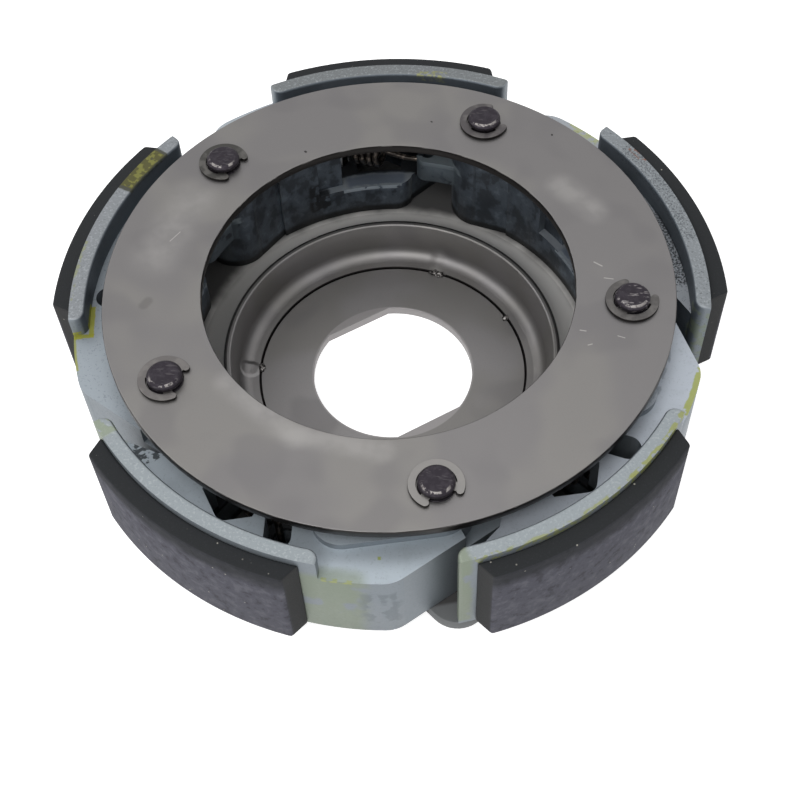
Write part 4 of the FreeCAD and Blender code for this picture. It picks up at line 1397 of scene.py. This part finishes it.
@dataclass
class Studio:
    """White floor, an even pale sky and large soft lamps."""

    white: tuple[float, float, float, float] = (1, 1, 1, 1)
    paper: str = "#e4e4e4"
    paper_glow: float = 0.75
    floor_size: float = 4.0
    floor_gap: float = 0.0001
    sky_light: float = 0.55
    softboxes: tuple[Softbox, ...] = (
        Softbox("front_softbox", (-0.15, -0.5, 0.75), 0.5, 3.4),
        Softbox("side_softbox", (-0.6, 0.1, 0.6), 0.5, 1.0),
        Softbox("top_softbox", (0.0, 0.3, 0.9), 0.3, 0.4),
    )

    def build(self) -> None:
        """Add the floor, the sky and the lamps."""
        self.add_floor()
        self.add_sky()
        for softbox in self.softboxes:
            softbox.build()
        bpy.context.scene.view_settings.view_transform = "Standard"

    def seen(self, tree: bpy.types.NodeTree) -> Socket:
        """Mask of the rays that should find the white background.

        Args:
            tree: Node tree that gets the nodes.

        Returns:
            Socket that is 1 for rays from the camera and from gloss or glass.
        """
        rays = add_node(tree, "LightPath").outputs
        larger = {"operation": "MAXIMUM"}
        seen = {0: rays["Is Camera Ray"], 1: rays["Is Glossy Ray"]}
        first = add_node(tree, "Math", larger, seen).outputs[0]
        return add_node(tree, "Math", larger, {0: first, 1: rays["Is Transmission Ray"]}).outputs[0]

    def add_floor(self) -> None:
        """Add a large pale floor under the clutch, which shows white and keeps a faint shadow."""
        mesh = bpy.data.meshes.new("floor")
        shape = bmesh.new()
        bmesh.ops.create_grid(shape, x_segments=1, y_segments=1, size=self.floor_size / 2)
        shape.to_mesh(mesh)
        shape.free()
        floor = bpy.data.objects.new("floor", mesh)
        floor.location = (0, 0, -self.floor_gap)
        bpy.context.scene.collection.objects.link(floor)
        material = bpy.data.materials.new("white_paper")
        material.use_nodes = True
        tree = material.node_tree
        tree.nodes.clear()
        glow = add_node(tree, "Emission", {}, {"Color": self.white, "Strength": self.paper_glow}).outputs[0]
        paper = add_node(tree, "BsdfDiffuse", {}, {"Color": linear(self.paper)}).outputs[0]
        shown = add_node(tree, "AddShader", {}, {0: glow, 1: paper}).outputs[0]
        mixed = add_node(tree, "MixShader", {}, {0: self.seen(tree), 1: paper, 2: shown}).outputs[0]
        add_node(tree, "OutputMaterial", {}, {"Surface": mixed})
        mesh.materials.append(material)

    def add_sky(self) -> None:
        """Light the scene evenly from a pale sky that shows white."""
        world = bpy.data.worlds.new("pale_sky")
        world.use_nodes = True
        tree = world.node_tree
        tree.nodes.clear()
        light = add_node(tree, "Background", {}, {"Color": self.white, "Strength": self.sky_light}).outputs[0]
        shown = add_node(tree, "Background", {}, {"Color": self.white, "Strength": 1.0}).outputs[0]
        mixed = add_node(tree, "MixShader", {}, {0: self.seen(tree), 1: light, 2: shown}).outputs[0]
        add_node(tree, "OutputWorld", {}, {"Surface": mixed})
        bpy.context.scene.world = world


def main() -> None:
    """Build every piece in order."""
    logging.basicConfig(level=logging.INFO)
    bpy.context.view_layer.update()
    for part in (Plates(), StakeBurrs(), Pins(), Shoes(), Springs(), Viewpoint(), Studio()):
        part.build()
        log.info("built %s", type(part).__name__)


if __name__ == "__main__":
    main()
